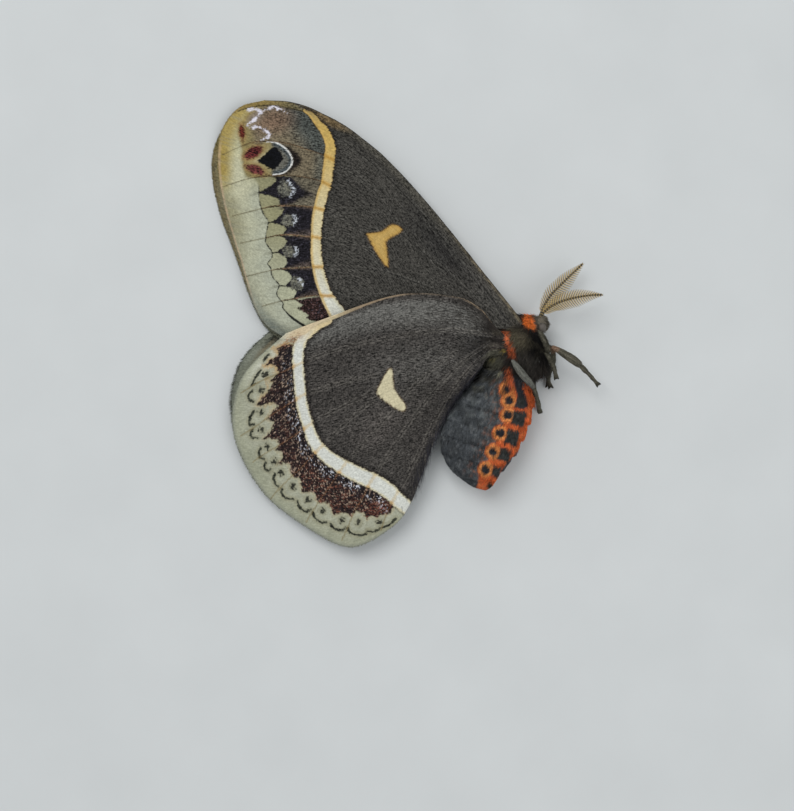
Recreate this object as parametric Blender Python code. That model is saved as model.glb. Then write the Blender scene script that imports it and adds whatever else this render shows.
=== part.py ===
"""Calleta silkmoth (Eupackardia calleta), a papered specimen lying on its left side.

The wings are folded together over the back, so the undersides of the right wings face up.
The body lies with its head to +X and its abdomen to -Y. All sizes below are millimetres in
the frame of the finished part, whose origin is under the middle of its bounding box at the
floor. The meshes are scaled to metres at the end.
"""

import math

import bmesh
import bpy
from mathutils import Matrix, Vector

# Driving dimensions

MM = 0.001
GAP = 0.3                      # clear distance between two neighbouring pieces
BODY_HEIGHT = 4.6              # height of the plane that parts the right side from the left

THORAX_FRONT = (20.9, 0.2)
THORAX_REAR = (17.3, -9.0)
ABDOMEN_FRONT = (17.6, -8.4)
ABDOMEN_TIP = (12.2, -27.8)
HEAD_CENTRE = (22.3, -0.1)
EYE_OFFSET = (0.35, -0.6)      # from the head's centre, in the plane of the floor
EYE_HEIGHT = 2.05              # above and below the parting plane
EYE_RADII = (0.75, 0.95, 0.75)

WING_THICKNESS = 0.5
VEIN_HEIGHT = 0.2
VEIN_HALF_WIDTH = 0.4
FOREWING_OFFSET = 0.4          # a forewing's middle, above or below the parting plane
HINDWING_OFFSET = 1.25         # the same for a hindwing where it covers the forewing
HINDWING_FREE_OFFSET = 0.65    # and where it runs free of the forewing
HINDWING_FREE_Y = (-16.0, -4.0)
DROOP_START_X = 12.0           # the folded wings sink towards the floor from here
DROOP_SLOPE = 0.087
APEX_DROOP = 0.22              # the forewing's apex sinks this much more, onto the floor
APEX_DROOP_Y = (10.0, 32.0)
COVER_EDGE = (5.0, 0.3)        # where the hindwing's costa lies: its y at the root, and its fall
ROOT_SPREAD = 2.3              # the wings part by this much to hold the body between them
ROOT_SPREAD_REACH = 6.5
ROOT_LINE = ((18.0, -1.0), (9.5, -11.5))

LEG_SIDES = 8
SHAFT_SIDES = 6
RAMUS_SIDES = 5
RAMI_PAIRS = 11
RAMUS_LENGTH = 1.9
RAMUS_RADIUS = 0.25
RAMUS_LEAN = 52.0              # degrees between the shaft and a ramus
RAMUS_ROOT = 0.07              # how far off the shaft's middle it starts, inside the shaft
RAMUS_STAGGER = 0.11           # the two rami of a pair start this far ahead and behind

# Body profiles: distance along the axis, reach to the back, reach to the belly, half height

THORAX_PROFILE = (
    (-0.9, 1.6, 0.8, 1.5), (0.0, 3.0, 1.6, 2.9), (1.5, 4.3, 2.4, 3.8), (3.2, 5.4, 3.8, 4.4),
    (5.0, 6.0, 5.0, 4.75), (6.6, 6.0, 5.2, 4.7), (8.0, 5.6, 4.6, 4.4), (9.6, 4.7, 4.1, 3.8),
)
ABDOMEN_PROFILE = (
    (-1.0, 3.8, 2.8, 3.2), (1.5, 5.2, 4.1, 4.0), (4.0, 6.9, 5.15, 4.6), (6.5, 8.3, 5.0, 4.8),
    (9.0, 9.1, 4.7, 4.85), (11.5, 9.2, 4.1, 4.85), (14.0, 8.8, 3.4, 4.7), (16.5, 7.6, 2.6, 4.2),
    (18.3, 5.4, 2.2, 3.2), (19.4, 3.0, 1.8, 1.8), (20.1, 0.8, 0.7, 0.6),
)
SEGMENT_PITCH = 2.9            # the abdomen's rings
SEGMENT_FURROW = 0.025

# Wing stations: share of the way from root to margin, points from costa to inner margin

FOREWING_STATIONS = (
    (0.00, ((20.0, -0.6), (19.3, -1.7), (18.6, -2.9))),
    (0.07, ((18.0, 2.6), (17.3, 0.9), (16.7, -0.9))),
    (0.30, ((6.1, 17.2), (4.9, 10.2), (5.1, 3.9), (5.8, -1.8))),
    (0.52, ((-7.6, 30.9), (-5.2, 23.1), (-4.4, 14.8), (-5.2, 5.6), (-6.1, -2.2))),
    (0.72, ((-14.7, 35.35), (-12.2, 28.6), (-14.1, 20.6), (-15.2, 12.2), (-13.9, 4.8), (-10.6, -2.4))),
    (0.86, ((-19.2, 36.9), (-20.5, 32.3), (-21.8, 26.3), (-22.3, 20.2), (-22.0, 14.2), (-20.8, 8.1),
            (-18.8, 2.2), (-15.0, -2.6))),
    (1.00, ((-23.6, 37.2), (-27.6, 36.1), (-30.0, 33.3), (-31.3, 29.0), (-30.8, 22.6), (-28.4, 14.0),
            (-25.5, 3.9), (-23.2, -0.2), (-19.6, -2.8))),
)
HINDWING_STATIONS = (
    (0.00, ((18.2, -3.4), (17.9, -4.4), (17.6, -5.4))),
    (0.07, ((14.9, -0.6), (14.9, -2.9), (14.4, -4.9))),
    (0.14, ((12.4, 2.4), (12.0, -2.6), (12.1, -7.6))),
    (0.24, ((8.6, 4.4), (6.6, 0.2), (6.2, -4.4), (6.9, -8.8), (9.0, -11.3))),
    (0.48, ((-1.4, 4.8), (-3.4, -2.8), (-2.8, -10.2), (0.9, -15.2), (5.6, -17.2))),
    (0.76, ((-14.2, 0.6), (-17.4, -4.4), (-17.9, -10.2), (-16.4, -16.6), (-13.6, -21.4),
            (-7.6, -25.2), (-3.1, -27.0), (2.3, -26.0))),
    (1.00, ((-20.0, -1.6), (-25.0, -6.0), (-27.8, -9.9), (-29.0, -15.8), (-27.6, -21.9),
            (-23.2, -28.8), (-16.6, -33.9), (-10.8, -37.0), (-6.8, -36.6), (-2.1, -33.1), (0.9, -28.9))),
)
# Vein places across the wing, from costa to inner margin. The cell's two side veins run to
# the root, those between them start at the cross vein, and the others run the whole way.
FOREWING_VEINS = (0.03, 0.11, 0.235, 0.345, 0.455, 0.57, 0.69, 0.82)
HINDWING_VEINS = (0.03, 0.18, 0.31, 0.425, 0.53, 0.655, 0.79, 0.915)
CELL_SIDES = (1, 5)
FOREWING_CELL_END = 0.52
HINDWING_CELL_END = 0.48
WING_ROWS = 14

FOREWING_LEFT_TURN = 0.020     # radians about the root, so that its margin shows past the right one
HINDWING_LEFT_TURN = -0.031
FOREWING_LEFT_SHIFT = (-0.5, 0.0)
HINDWING_LEFT_SHIFT = (0.0, 1.6)
COVER_LEFT_SHIFT = 2.4         # the left hindwing's costa lies this much further up its forewing
FOREWING_PIVOT = (17.2, 1.4)
HINDWING_PIVOT = (15.6, -2.8)

# Legs: points from the thorax outward with a radius at each

LEGS = {
    "foreleg_right": (
        ((21.0, -1.6, 6.0), 0.60), ((22.4, -3.0, 6.9), 0.62), ((24.1, -4.1, 7.3), 0.50),
        ((25.4, -4.5, 7.0), 0.60), ((27.4, -5.7, 6.1), 0.70), ((28.9, -6.9, 5.5), 0.45),
        ((30.6, -8.7, 4.6), 0.36), ((31.9, -10.0, 3.9), 0.40),
    ),
    "midleg_right": (
        ((22.0, -5.4, 7.0), 0.55), ((23.6, -5.6, 6.9), 0.50), ((24.5, -6.6, 6.4), 0.48),
        ((24.6, -8.0, 5.7), 0.42), ((24.8, -9.1, 5.2), 0.45),
    ),
    "hindleg_right": (
        ((16.6, -5.0, 8.6), 0.60), ((18.0, -6.8, 9.8), 0.62), ((19.8, -9.0, 9.6), 0.70),
        ((21.2, -10.6, 8.4), 0.48), ((21.9, -12.4, 7.0), 0.38), ((22.2, -14.6, 5.4), 0.42),
    ),
    "foreleg_left": (
        ((21.6, -2.6, 3.0), 0.55), ((23.2, -3.6, 2.2), 0.58), ((24.5, -4.5, 1.7), 0.48),
        ((24.5, -6.4, 1.4), 0.55), ((23.9, -8.4, 1.0), 0.42), ((23.8, -10.6, 0.8), 0.38),
    ),
    "midleg_left": (
        ((21.6, -5.8, 2.4), 0.50), ((23.0, -6.6, 1.4), 0.50), ((23.0, -8.2, 1.0), 0.45),
        ((22.3, -9.6, 0.8), 0.38), ((21.9, -11.0, 0.7), 0.36),
    ),
    "hindleg_left": (
        ((20.2, -7.6, 1.8), 0.50), ((20.9, -9.6, 0.9), 0.45), ((21.3, -11.6, 0.75), 0.40),
        ((21.9, -13.2, 0.7), 0.36), ((22.2, -14.6, 0.6), 0.36),
    ),
}

# Antenna shafts

ANTENNAE = {
    "antenna_right": ((21.9, 0.3, 5.3), (22.7, 1.7, 5.6), (23.6, 2.6, 6.0), (24.8, 3.3, 6.4),
                      (26.5, 4.0, 6.7), (28.3, 4.4, 6.8), (30.2, 4.7, 6.7), (32.4, 4.85, 6.4)),
    "antenna_left": ((21.8, 0.3, 3.9), (22.4, 1.7, 3.7), (23.2, 3.4, 3.5), (24.2, 4.9, 3.4),
                     (25.7, 6.4, 3.3), (27.2, 7.9, 3.4), (28.4, 9.0, 3.5), (29.3, 9.9, 3.7)),
}

# Colours as sRGB hex, roughness

COLOURS = {
    "thorax": ("#2A2624", 0.9), "abdomen": ("#3E4144", 0.85), "head": ("#2A2522", 0.9),
    "eye": ("#6B5D55", 0.35), "antenna": ("#B59A5A", 0.7), "leg": ("#4B463B", 0.8),
    "forewing": ("#3A3634", 0.85), "hindwing": ("#3F3C3A", 0.85),
}


# Small helpers

def lerp(a, b, t):
    return a + (b - a) * t


def smoothstep(low, high, value):
    t = min(1.0, max(0.0, (value - low) / (high - low)))
    return t * t * (3.0 - 2.0 * t)


def catmull(points, t):
    """Point on a smooth curve through the given points, for t in 0..1 over equal spans."""
    spans = len(points) - 1
    place = min(t * spans, spans - 1e-9)
    i = int(place)
    f = place - i
    p1, p2 = points[i], points[i + 1]
    p0 = points[i - 1] if i > 0 else p1 * 2.0 - p2
    p3 = points[i + 2] if i + 2 <= spans else p2 * 2.0 - p1
    return 0.5 * ((2.0 * p1) + (p2 - p0) * f + (2.0 * p0 - 5.0 * p1 + 4.0 * p2 - p3) * f * f
                  + (3.0 * p1 - p0 - 3.0 * p2 + p3) * f * f * f)


def by_length(points, t, samples=160):
    """Point at a share t of the length of the smooth curve through the points."""
    curve = [catmull(points, k / samples) for k in range(samples + 1)]
    lengths = [0.0]
    for a, b in zip(curve, curve[1:]):
        lengths.append(lengths[-1] + (b - a).length)
    goal = t * lengths[-1]
    for k in range(samples):
        if lengths[k + 1] >= goal:
            step = lengths[k + 1] - lengths[k]
            return curve[k].lerp(curve[k + 1], (goal - lengths[k]) / step if step else 0.0)
    return curve[-1]


def profile_at(profile, place):
    """Smooth reading of a body profile at a distance along its axis."""
    for i in range(len(profile) - 1):
        if place <= profile[i + 1][0] or i == len(profile) - 2:
            break
    a, b = profile[i], profile[i + 1]
    before = profile[max(i - 1, 0)]
    after = profile[min(i + 2, len(profile) - 1)]
    f = (place - a[0]) / (b[0] - a[0])
    values = []
    for k in (1, 2, 3):
        slope_a = (b[k] - before[k]) / (b[0] - before[0]) * (b[0] - a[0])
        slope_b = (after[k] - a[k]) / (after[0] - a[0]) * (b[0] - a[0])
        f2, f3 = f * f, f * f * f
        values.append(a[k] * (2 * f3 - 3 * f2 + 1) + slope_a * (f3 - 2 * f2 + f)
                      + b[k] * (3 * f2 - 2 * f3) + slope_b * (f3 - f2))
    return values


# Mesh building

def make_object(name, vertices, faces):
    mesh = bpy.data.meshes.new(name)
    mesh.from_pydata([tuple(v) for v in vertices], [], faces)
    mesh.update()
    obj = bpy.data.objects.new(name, mesh)
    bpy.context.scene.collection.objects.link(obj)
    return obj


def set_outward(obj):
    """Split all faces into triangles and turn them outward."""
    bm = bmesh.new()
    bm.from_mesh(obj.data)
    bmesh.ops.triangulate(bm, faces=bm.faces[:])
    bmesh.ops.recalc_face_normals(bm, faces=bm.faces[:])
    if bm.calc_volume(signed=True) < 0.0:
        bmesh.ops.reverse_faces(bm, faces=bm.faces[:])
    bm.to_mesh(obj.data)
    bm.free()
    return obj


def rings_to_object(name, rings):
    """Skin rings of equal point count and close both ends with a fan."""
    count = len(rings[0])
    vertices = [point for ring in rings for point in ring]
    faces = []
    for r in range(len(rings) - 1):
        for k in range(count):
            a = r * count + k
            b = r * count + (k + 1) % count
            faces.append((a, b, b + count))
            faces.append((a, b + count, a + count))
    for ring_index in (0, len(rings) - 1):
        ring = rings[ring_index]
        centre = sum((Vector(p) for p in ring), Vector()) / count
        vertices.append(centre)
        hub = len(vertices) - 1
        for k in range(count):
            faces.append((ring_index * count + k, ring_index * count + (k + 1) % count, hub))
    return set_outward(make_object(name, vertices, faces))


def tube(name, points, radii, steps, sides):
    """Round bar along a smooth path whose radius varies from point to point."""
    path = [Vector(p) for p in points]
    sizes = [Vector((r, 0.0, 0.0)) for r in radii]
    rings = []
    side = Vector((0.0, 0.0, 1.0))
    for s in range(steps + 1):
        t = s / steps
        here = catmull(path, t)
        ahead = catmull(path, min(1.0, t + 0.01)) - catmull(path, max(0.0, t - 0.01))
        ahead.normalize()
        side = (side - ahead * side.dot(ahead)).normalized()
        other = ahead.cross(side)
        radius = catmull(sizes, t).x
        rings.append([here + (side * math.cos(a) + other * math.sin(a)) * radius
                      for a in (2.0 * math.pi * k / sides for k in range(sides))])
    return rings_to_object(name, rings)


def ellipsoid(name, centre, radii, segments=16, rings=10):
    bm = bmesh.new()
    bmesh.ops.create_uvsphere(bm, u_segments=segments, v_segments=rings, radius=1.0)
    bmesh.ops.transform(bm, matrix=Matrix.Translation(centre) @ Matrix.Diagonal((*radii, 1.0)),
                        verts=bm.verts[:])
    mesh = bpy.data.meshes.new(name)
    bm.to_mesh(mesh)
    bm.free()
    obj = bpy.data.objects.new(name, mesh)
    bpy.context.scene.collection.objects.link(obj)
    return set_outward(obj)


def remove_object(obj):
    mesh = obj.data
    bpy.data.objects.remove(obj)
    bpy.data.meshes.remove(mesh)


def keep_largest(obj):
    """Keep only the closed surface with the largest volume."""
    bm = bmesh.new()
    bm.from_mesh(obj.data)
    bmesh.ops.triangulate(bm, faces=bm.faces[:])
    unseen = set(bm.faces)
    islands = []
    while unseen:
        stack = [unseen.pop()]
        island = []
        while stack:
            face = stack.pop()
            island.append(face)
            for edge in face.edges:
                for neighbour in edge.link_faces:
                    if neighbour in unseen:
                        unseen.remove(neighbour)
                        stack.append(neighbour)
        volume = sum(f.verts[0].co.dot(f.verts[1].co.cross(f.verts[2].co)) for f in island) / 6.0
        islands.append((abs(volume), island))
    islands.sort(key=lambda entry: entry[0])
    for _, island in islands[:-1]:
        bmesh.ops.delete(bm, geom=island, context="FACES")
    bm.to_mesh(obj.data)
    bm.free()


def boolean(obj, others, operation):
    """Join other closed meshes to this one, or cut them away, and drop the others."""
    group = bpy.data.collections.new(obj.name + "_pieces")
    bpy.context.scene.collection.children.link(group)
    for other in others:
        bpy.context.scene.collection.objects.unlink(other)
        group.objects.link(other)
    modifier = obj.modifiers.new("join", "BOOLEAN")
    modifier.operation = operation
    modifier.solver = "EXACT"
    modifier.operand_type = "COLLECTION"
    modifier.collection = group
    bpy.context.view_layer.update()
    evaluated = obj.evaluated_get(bpy.context.evaluated_depsgraph_get())
    joined = bpy.data.meshes.new_from_object(evaluated)
    old = obj.data
    obj.modifiers.clear()
    obj.data = joined
    bpy.data.meshes.remove(old)
    for other in others:
        remove_object(other)
    bpy.data.collections.remove(group)
    keep_largest(obj)
    return obj


# Body

def body_rings(front, rear, profile, start, end, count, around, grow=0.0, furrow=0.0):
    """Rings along a body part's axis, wider to the back than to the belly, flat at the floor."""
    front, rear = Vector((*front, 0.0)), Vector((*rear, 0.0))
    ahead = (rear - front).normalized()
    back = Vector((ahead.y, -ahead.x, 0.0))
    if back.x > 0.0:
        back = -back
    rings = []
    for s in range(count + 1):
        place = lerp(start, end, s / count)
        to_back, to_belly, half = profile_at(profile, place)
        pinch = 1.0 - furrow * math.cos(math.pi * place / SEGMENT_PITCH) ** 8
        ring = []
        for k in range(around):
            angle = 2.0 * math.pi * (k + 0.5) / around
            reach = (to_back if math.cos(angle) > 0.0 else to_belly) * pinch + grow
            height = (half * pinch + grow) * math.sin(angle)
            point = front + ahead * place + back * (reach * math.cos(angle))
            point.z = max(BODY_HEIGHT + height, -grow)
            ring.append(point)
        rings.append(ring)
    return rings


def thorax_object(name, grow=0.0):
    rings = body_rings(THORAX_FRONT, THORAX_REAR, THORAX_PROFILE, THORAX_PROFILE[0][0] - grow,
                       THORAX_PROFILE[-1][0] + grow, 16, 26, grow)
    return rings_to_object(name, rings)


def head_object(name, grow=0.0):
    centre = (*HEAD_CENTRE, BODY_HEIGHT)
    return ellipsoid(name, centre, (1.55 + grow, 1.75 + grow, 2.1 + grow), 18, 12)


def build_body():
    thorax = thorax_object("thorax")
    rings = body_rings(ABDOMEN_FRONT, ABDOMEN_TIP, ABDOMEN_PROFILE, ABDOMEN_PROFILE[0][0],
                       ABDOMEN_PROFILE[-1][0], 29, 28, furrow=SEGMENT_FURROW)
    abdomen = boolean(rings_to_object("abdomen", rings), [thorax_object("cut", GAP)], "DIFFERENCE")

    head = head_object("head")
    palps = [tube("palp", ((22.6, -1.0, BODY_HEIGHT + side), (23.4, -1.3, BODY_HEIGHT + side),
                           (24.0, -1.1, BODY_HEIGHT + side * 1.1)), (0.5, 0.45, 0.3), 5, LEG_SIDES)
             for side in (0.6, -0.6)]
    boolean(head, palps, "UNION")
    boolean(head, [thorax_object("cut", GAP)], "DIFFERENCE")

    eyes = []
    for name, side in (("eye_right", 1.0), ("eye_left", -1.0)):
        centre = (HEAD_CENTRE[0] + EYE_OFFSET[0], HEAD_CENTRE[1] + EYE_OFFSET[1],
                  BODY_HEIGHT + side * EYE_HEIGHT)
        eye = ellipsoid(name, centre, EYE_RADII, 14, 10)
        boolean(eye, [head_object("cut", GAP)], "DIFFERENCE")
        boolean(eye, [thorax_object("cut", GAP)], "DIFFERENCE")
        eyes.append(eye)
    return thorax, abdomen, head, eyes


# Wings

def station_point(stations, u, v):
    """Place on the wing's plan: u runs from root to margin, v from costa to inner margin."""
    places = [station[0] for station in stations]
    points = [by_length([Vector(p) for p in station[1]], v) for station in stations]
    i = 0
    while i < len(places) - 2 and u > places[i + 1]:
        i += 1
    f = (u - places[i]) / (places[i + 1] - places[i])
    p1, p2 = points[i], points[i + 1]
    width = places[i + 1] - places[i]
    slope1 = (p2 - points[i - 1]) / (places[i + 1] - places[i - 1]) if i > 0 else (p2 - p1) / width
    slope2 = ((points[i + 2] - p1) / (places[i + 2] - places[i]) if i + 2 < len(points)
              else (p2 - p1) / width)
    f2, f3 = f * f, f * f * f
    return (p1 * (2 * f3 - 3 * f2 + 1) + slope1 * width * (f3 - 2 * f2 + f)
            + p2 * (3 * f2 - 2 * f3) + slope2 * width * (f3 - f2))


def parting_height(x, y):
    """Height of the plane between the right wings and the left ones."""
    apex = APEX_DROOP * smoothstep(*APEX_DROOP_Y, y)
    return BODY_HEIGHT - DROOP_SLOPE * max(0.0, DROOP_START_X - x) - apex


def covered(x, y):
    """One where the hindwing lies over the forewing, none where the forewing shows."""
    edge = COVER_EDGE[0] - COVER_EDGE[1] * max(0.0, -x - 2.0)
    return 1.0 - smoothstep(edge - 1.0, edge + 2.0, y)


def root_spread(x, y):
    """How far the wings stand off the parting plane to hold the body between them."""
    a, b = Vector(ROOT_LINE[0]), Vector(ROOT_LINE[1])
    along = max(0.0, min(1.0, (Vector((x, y)) - a).dot(b - a) / (b - a).length_squared))
    distance = (Vector((x, y)) - a.lerp(b, along)).length
    return ROOT_SPREAD * math.exp(-(distance / ROOT_SPREAD_REACH) ** 2)


def wing_columns(veins):
    """Places across the wing: three for each vein, one half way to the next, and both edges."""
    columns = [(0.0, -1, 0.0)]
    for index, place in enumerate(veins):
        columns += [(place, index, -1.0), (place, index, 0.0), (place, index, 1.0)]
        after = veins[index + 1] if index + 1 < len(veins) else 1.0
        columns.append((lerp(place, after, 0.5), -1, 0.0))
    columns.append((1.0, -1, 0.0))
    return columns


def vein_share(index, row_place, cell_end):
    """Full height for a vein that runs here, none for one that starts beyond the cell."""
    if CELL_SIDES[0] < index < CELL_SIDES[1]:
        return smoothstep(cell_end - 0.01, cell_end, row_place)
    return smoothstep(0.04, 0.12, row_place)


def wing_object(name, stations, veins, cell_end, hind, side, pivot, turn, shift):
    """One wing as a thin sheet whose outer face carries the veins as ridges."""
    rows = sorted([k / WING_ROWS for k in range(WING_ROWS + 1) if abs(k / WING_ROWS - cell_end) > 0.03]
                  + [0.025, cell_end - 0.012, cell_end, cell_end + 0.012])
    columns = wing_columns(veins)
    turn_matrix = Matrix.Rotation(turn, 2)
    outer, inner = [], []
    for u in rows:
        width = (station_point(stations, u, 1.0) - station_point(stations, u, 0.0)).length
        foot = min(VEIN_HALF_WIDTH / width, 0.012)
        for place, vein, edge in columns:
            v = place + edge * foot
            plan = station_point(stations, u, v)
            plan = turn_matrix @ (plan - Vector(pivot)) + Vector(pivot) + Vector(shift)
            x, y = plan
            offset = FOREWING_OFFSET
            if hind:
                offset = lerp(HINDWING_FREE_OFFSET, HINDWING_OFFSET, smoothstep(*HINDWING_FREE_Y, y))
            middle = parting_height(x, y) + side * (offset + root_spread(x, y))
            ridge = 0.0
            if vein >= 0 and edge == 0.0:
                ridge = VEIN_HEIGHT * vein_share(vein, u, cell_end)
            inside_cell = veins[CELL_SIDES[0]] < place < veins[CELL_SIDES[1]]
            if u == cell_end and inside_cell:
                ridge = VEIN_HEIGHT
            if not hind:
                ridge *= 1.0 - covered(x, y - (COVER_LEFT_SHIFT if side < 0.0 else 0.0))
            outside = middle + side * (WING_THICKNESS / 2 + ridge)
            within = middle - side * WING_THICKNESS / 2
            if side < 0.0:
                outside = max(outside, 0.0)
                within = max(within, WING_THICKNESS)
            outer.append(Vector((x, y, outside)))
            inner.append(Vector((x, y, within)))

    across = len(columns)
    total = len(outer)
    faces = []
    for r in range(len(rows) - 1):
        for c in range(across - 1):
            a, b = r * across + c, r * across + c + 1
            d, e = a + across, b + across
            for base, flip in ((0, False), (total, True)):
                pair = ((a, b, e), (a, e, d))
                for face in pair:
                    shifted = tuple(index + base for index in face)
                    faces.append(shifted[::-1] if flip else shifted)
    border = ([c for c in range(across)]
              + [r * across + across - 1 for r in range(1, len(rows))]
              + [(len(rows) - 1) * across + c for c in range(across - 2, -1, -1)]
              + [r * across for r in range(len(rows) - 2, 0, -1)])
    for a, b in zip(border, border[1:] + border[:1]):
        faces.append((a, a + total, b))
        faces.append((b, a + total, b + total))
    wing = set_outward(make_object(name, outer + inner, faces))
    return boolean(wing, [thorax_object("cut", GAP)], "DIFFERENCE")


def build_wings():
    wings = []
    for name, side, fore_turn, hind_turn, fore_shift, hind_shift in (
            ("right", 1.0, 0.0, 0.0, (0.0, 0.0), (0.0, 0.0)),
            ("left", -1.0, FOREWING_LEFT_TURN, HINDWING_LEFT_TURN, FOREWING_LEFT_SHIFT,
             HINDWING_LEFT_SHIFT)):
        wings.append(wing_object("forewing_" + name, FOREWING_STATIONS, FOREWING_VEINS,
                                 FOREWING_CELL_END, False, side, FOREWING_PIVOT, fore_turn, fore_shift))
        wings.append(wing_object("hindwing_" + name, HINDWING_STATIONS, HINDWING_VEINS,
                                 HINDWING_CELL_END, True, side, HINDWING_PIVOT, hind_turn, hind_shift))
    return wings


# Legs and antennae

def build_legs():
    legs = []
    for name, points in LEGS.items():
        leg = tube(name, [p for p, _ in points], [r for _, r in points], 14, LEG_SIDES)
        legs.append(boolean(leg, [thorax_object("cut", GAP)], "DIFFERENCE"))
    return legs


def build_antenna(name, points):
    """Comb-shaped feeler: a tapering shaft with a row of rami along each side."""
    path = [Vector(p) for p in points]
    shaft_radii = [lerp(0.32, 0.24, k / (len(points) - 1)) for k in range(len(points))]
    antenna = tube(name, points, shaft_radii, 16, SHAFT_SIDES)
    rami = []
    for pair in range(RAMI_PAIRS):
        t = lerp(0.2, 0.95, pair / (RAMI_PAIRS - 1))
        here = by_length(path, t)
        ahead = (by_length(path, min(1.0, t + 0.02)) - by_length(path, t - 0.02)).normalized()
        swell = math.sin(math.pi * lerp(0.22, 0.93, pair / (RAMI_PAIRS - 1))) ** 0.7
        length = RAMUS_LENGTH * swell
        for hand in (1.0, -1.0):
            lean = Matrix.Rotation(hand * math.radians(RAMUS_LEAN), 3, "Z")
            away = lean @ ahead
            root = here + away * RAMUS_ROOT + ahead * (RAMUS_STAGGER * hand)
            tip = root + away * length + ahead * 0.15 * length
            middle = root + away * (0.55 * length)
            rami.append(tube("ramus", (root, middle, tip), (RAMUS_RADIUS, RAMUS_RADIUS * 0.85, 0.12),
                             3, RAMUS_SIDES))
    boolean(antenna, rami, "UNION")
    return boolean(antenna, [head_object("cut", GAP), thorax_object("cut", GAP)], "DIFFERENCE")


# Finish

def hex_to_linear(code):
    channels = [int(code[k:k + 2], 16) / 255.0 for k in (1, 3, 5)]
    return [c / 12.92 if c <= 0.04045 else ((c + 0.055) / 1.055) ** 2.4 for c in channels] + [1.0]


def paint(obj, kind):
    colour, roughness = COLOURS[kind]
    material = bpy.data.materials.new(obj.name)
    material.use_nodes = True
    shader = material.node_tree.nodes["Principled BSDF"]
    shader.inputs["Base Color"].default_value = hex_to_linear(colour)
    shader.inputs["Roughness"].default_value = roughness
    shader.inputs["Metallic"].default_value = 0.0
    obj.data.materials.clear()
    obj.data.materials.append(material)


def finish(obj, kind):
    obj.data.transform(Matrix.Scale(MM, 4))
    obj.data.update()
    obj.data.shade_smooth()
    obj.data.set_sharp_from_angle(angle=math.radians(35.0))
    paint(obj, kind)


def main():
    for obj in list(bpy.data.objects):
        bpy.data.objects.remove(obj)
    thorax, abdomen, head, eyes = build_body()
    finished = [(thorax, "thorax"), (abdomen, "abdomen"), (head, "head")]
    finished += [(eye, "eye") for eye in eyes]
    finished += [(wing, wing.name.split("_")[0]) for wing in build_wings()]
    finished += [(leg, "leg") for leg in build_legs()]
    finished += [(build_antenna(name, points), "antenna") for name, points in ANTENNAE.items()]
    for obj, kind in finished:
        finish(obj, kind)


main()
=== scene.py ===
"""Calleta silkmoth, a papered specimen lying on its left side.

Wings of fine scales with pale bands, a furred body, comb feelers and dried legs, dressed over the
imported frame. Lengths are millimetres until a finished mesh is scaled to metres.
Layout: frame and base values, small helpers, wing surfaces, wing colours, body, coat, legs and
feelers, materials, stage, then the add-on classes.
"""

import math

import bmesh
import bpy
import numpy as np
from mathutils import Matrix, Vector


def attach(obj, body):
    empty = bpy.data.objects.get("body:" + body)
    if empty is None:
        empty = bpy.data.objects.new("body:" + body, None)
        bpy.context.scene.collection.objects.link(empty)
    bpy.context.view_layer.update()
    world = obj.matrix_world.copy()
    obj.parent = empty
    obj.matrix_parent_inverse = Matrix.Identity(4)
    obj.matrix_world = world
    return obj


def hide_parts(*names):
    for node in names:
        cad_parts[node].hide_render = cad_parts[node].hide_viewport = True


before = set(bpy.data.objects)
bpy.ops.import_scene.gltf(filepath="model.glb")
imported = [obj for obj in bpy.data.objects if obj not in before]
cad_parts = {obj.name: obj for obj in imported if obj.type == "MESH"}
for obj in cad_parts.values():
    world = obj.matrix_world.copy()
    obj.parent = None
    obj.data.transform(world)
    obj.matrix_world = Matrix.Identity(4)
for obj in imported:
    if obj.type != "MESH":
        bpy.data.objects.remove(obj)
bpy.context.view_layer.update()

bl_info = {
    "name": "Calleta silkmoth",
    "version": (1, 0, 0),
    "blender": (4, 5, 0),
    "location": "View3D > Sidebar > Moth",
    "description": "Builds the looks of a papered silkmoth round its packed solids",
    "category": "Object",
}

# Base values, shared with the solids

MM = 0.001
BODY_HEIGHT = 4.6
THORAX_FRONT = (20.9, 0.2)
THORAX_REAR = (17.3, -9.0)
ABDOMEN_FRONT = (17.6, -8.4)
ABDOMEN_TIP = (12.2, -27.8)
HEAD_CENTRE = (22.3, -0.1)
HEAD_RADII = (1.55, 1.75, 2.1)
EYE_OFFSET = (0.35, -0.6)
EYE_HEIGHT = 2.05
EYE_RADII = (0.75, 0.95, 0.75)
THORAX_PROFILE = (
    (-0.9, 1.6, 0.8, 1.5), (0.0, 3.0, 1.6, 2.9), (1.5, 4.3, 2.4, 3.8), (3.2, 5.4, 3.8, 4.4),
    (5.0, 6.0, 5.0, 4.75), (6.6, 6.0, 5.2, 4.7), (8.0, 5.6, 4.6, 4.4), (9.6, 4.7, 4.1, 3.8),
)
BELLY_SWELL = ((4.0, 0.0), (7.0, 0.45), (13.0, 0.75), (16.0, 0.35), (18.5, 0.0))   # fur stands off there
ABDOMEN_PROFILE = (
    (-1.0, 3.8, 2.8, 3.2), (1.5, 5.2, 4.1, 4.0), (4.0, 6.9, 5.15, 4.6), (6.5, 8.3, 5.0, 4.8),
    (9.0, 9.1, 4.7, 4.85), (11.5, 9.2, 4.1, 4.85), (14.0, 8.8, 3.4, 4.7), (16.5, 7.6, 2.6, 4.2),
    (18.3, 5.4, 2.2, 3.2), (19.4, 3.0, 1.8, 1.8), (20.1, 0.8, 0.7, 0.6),
)
SEGMENT_PITCH = 2.9

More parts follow.
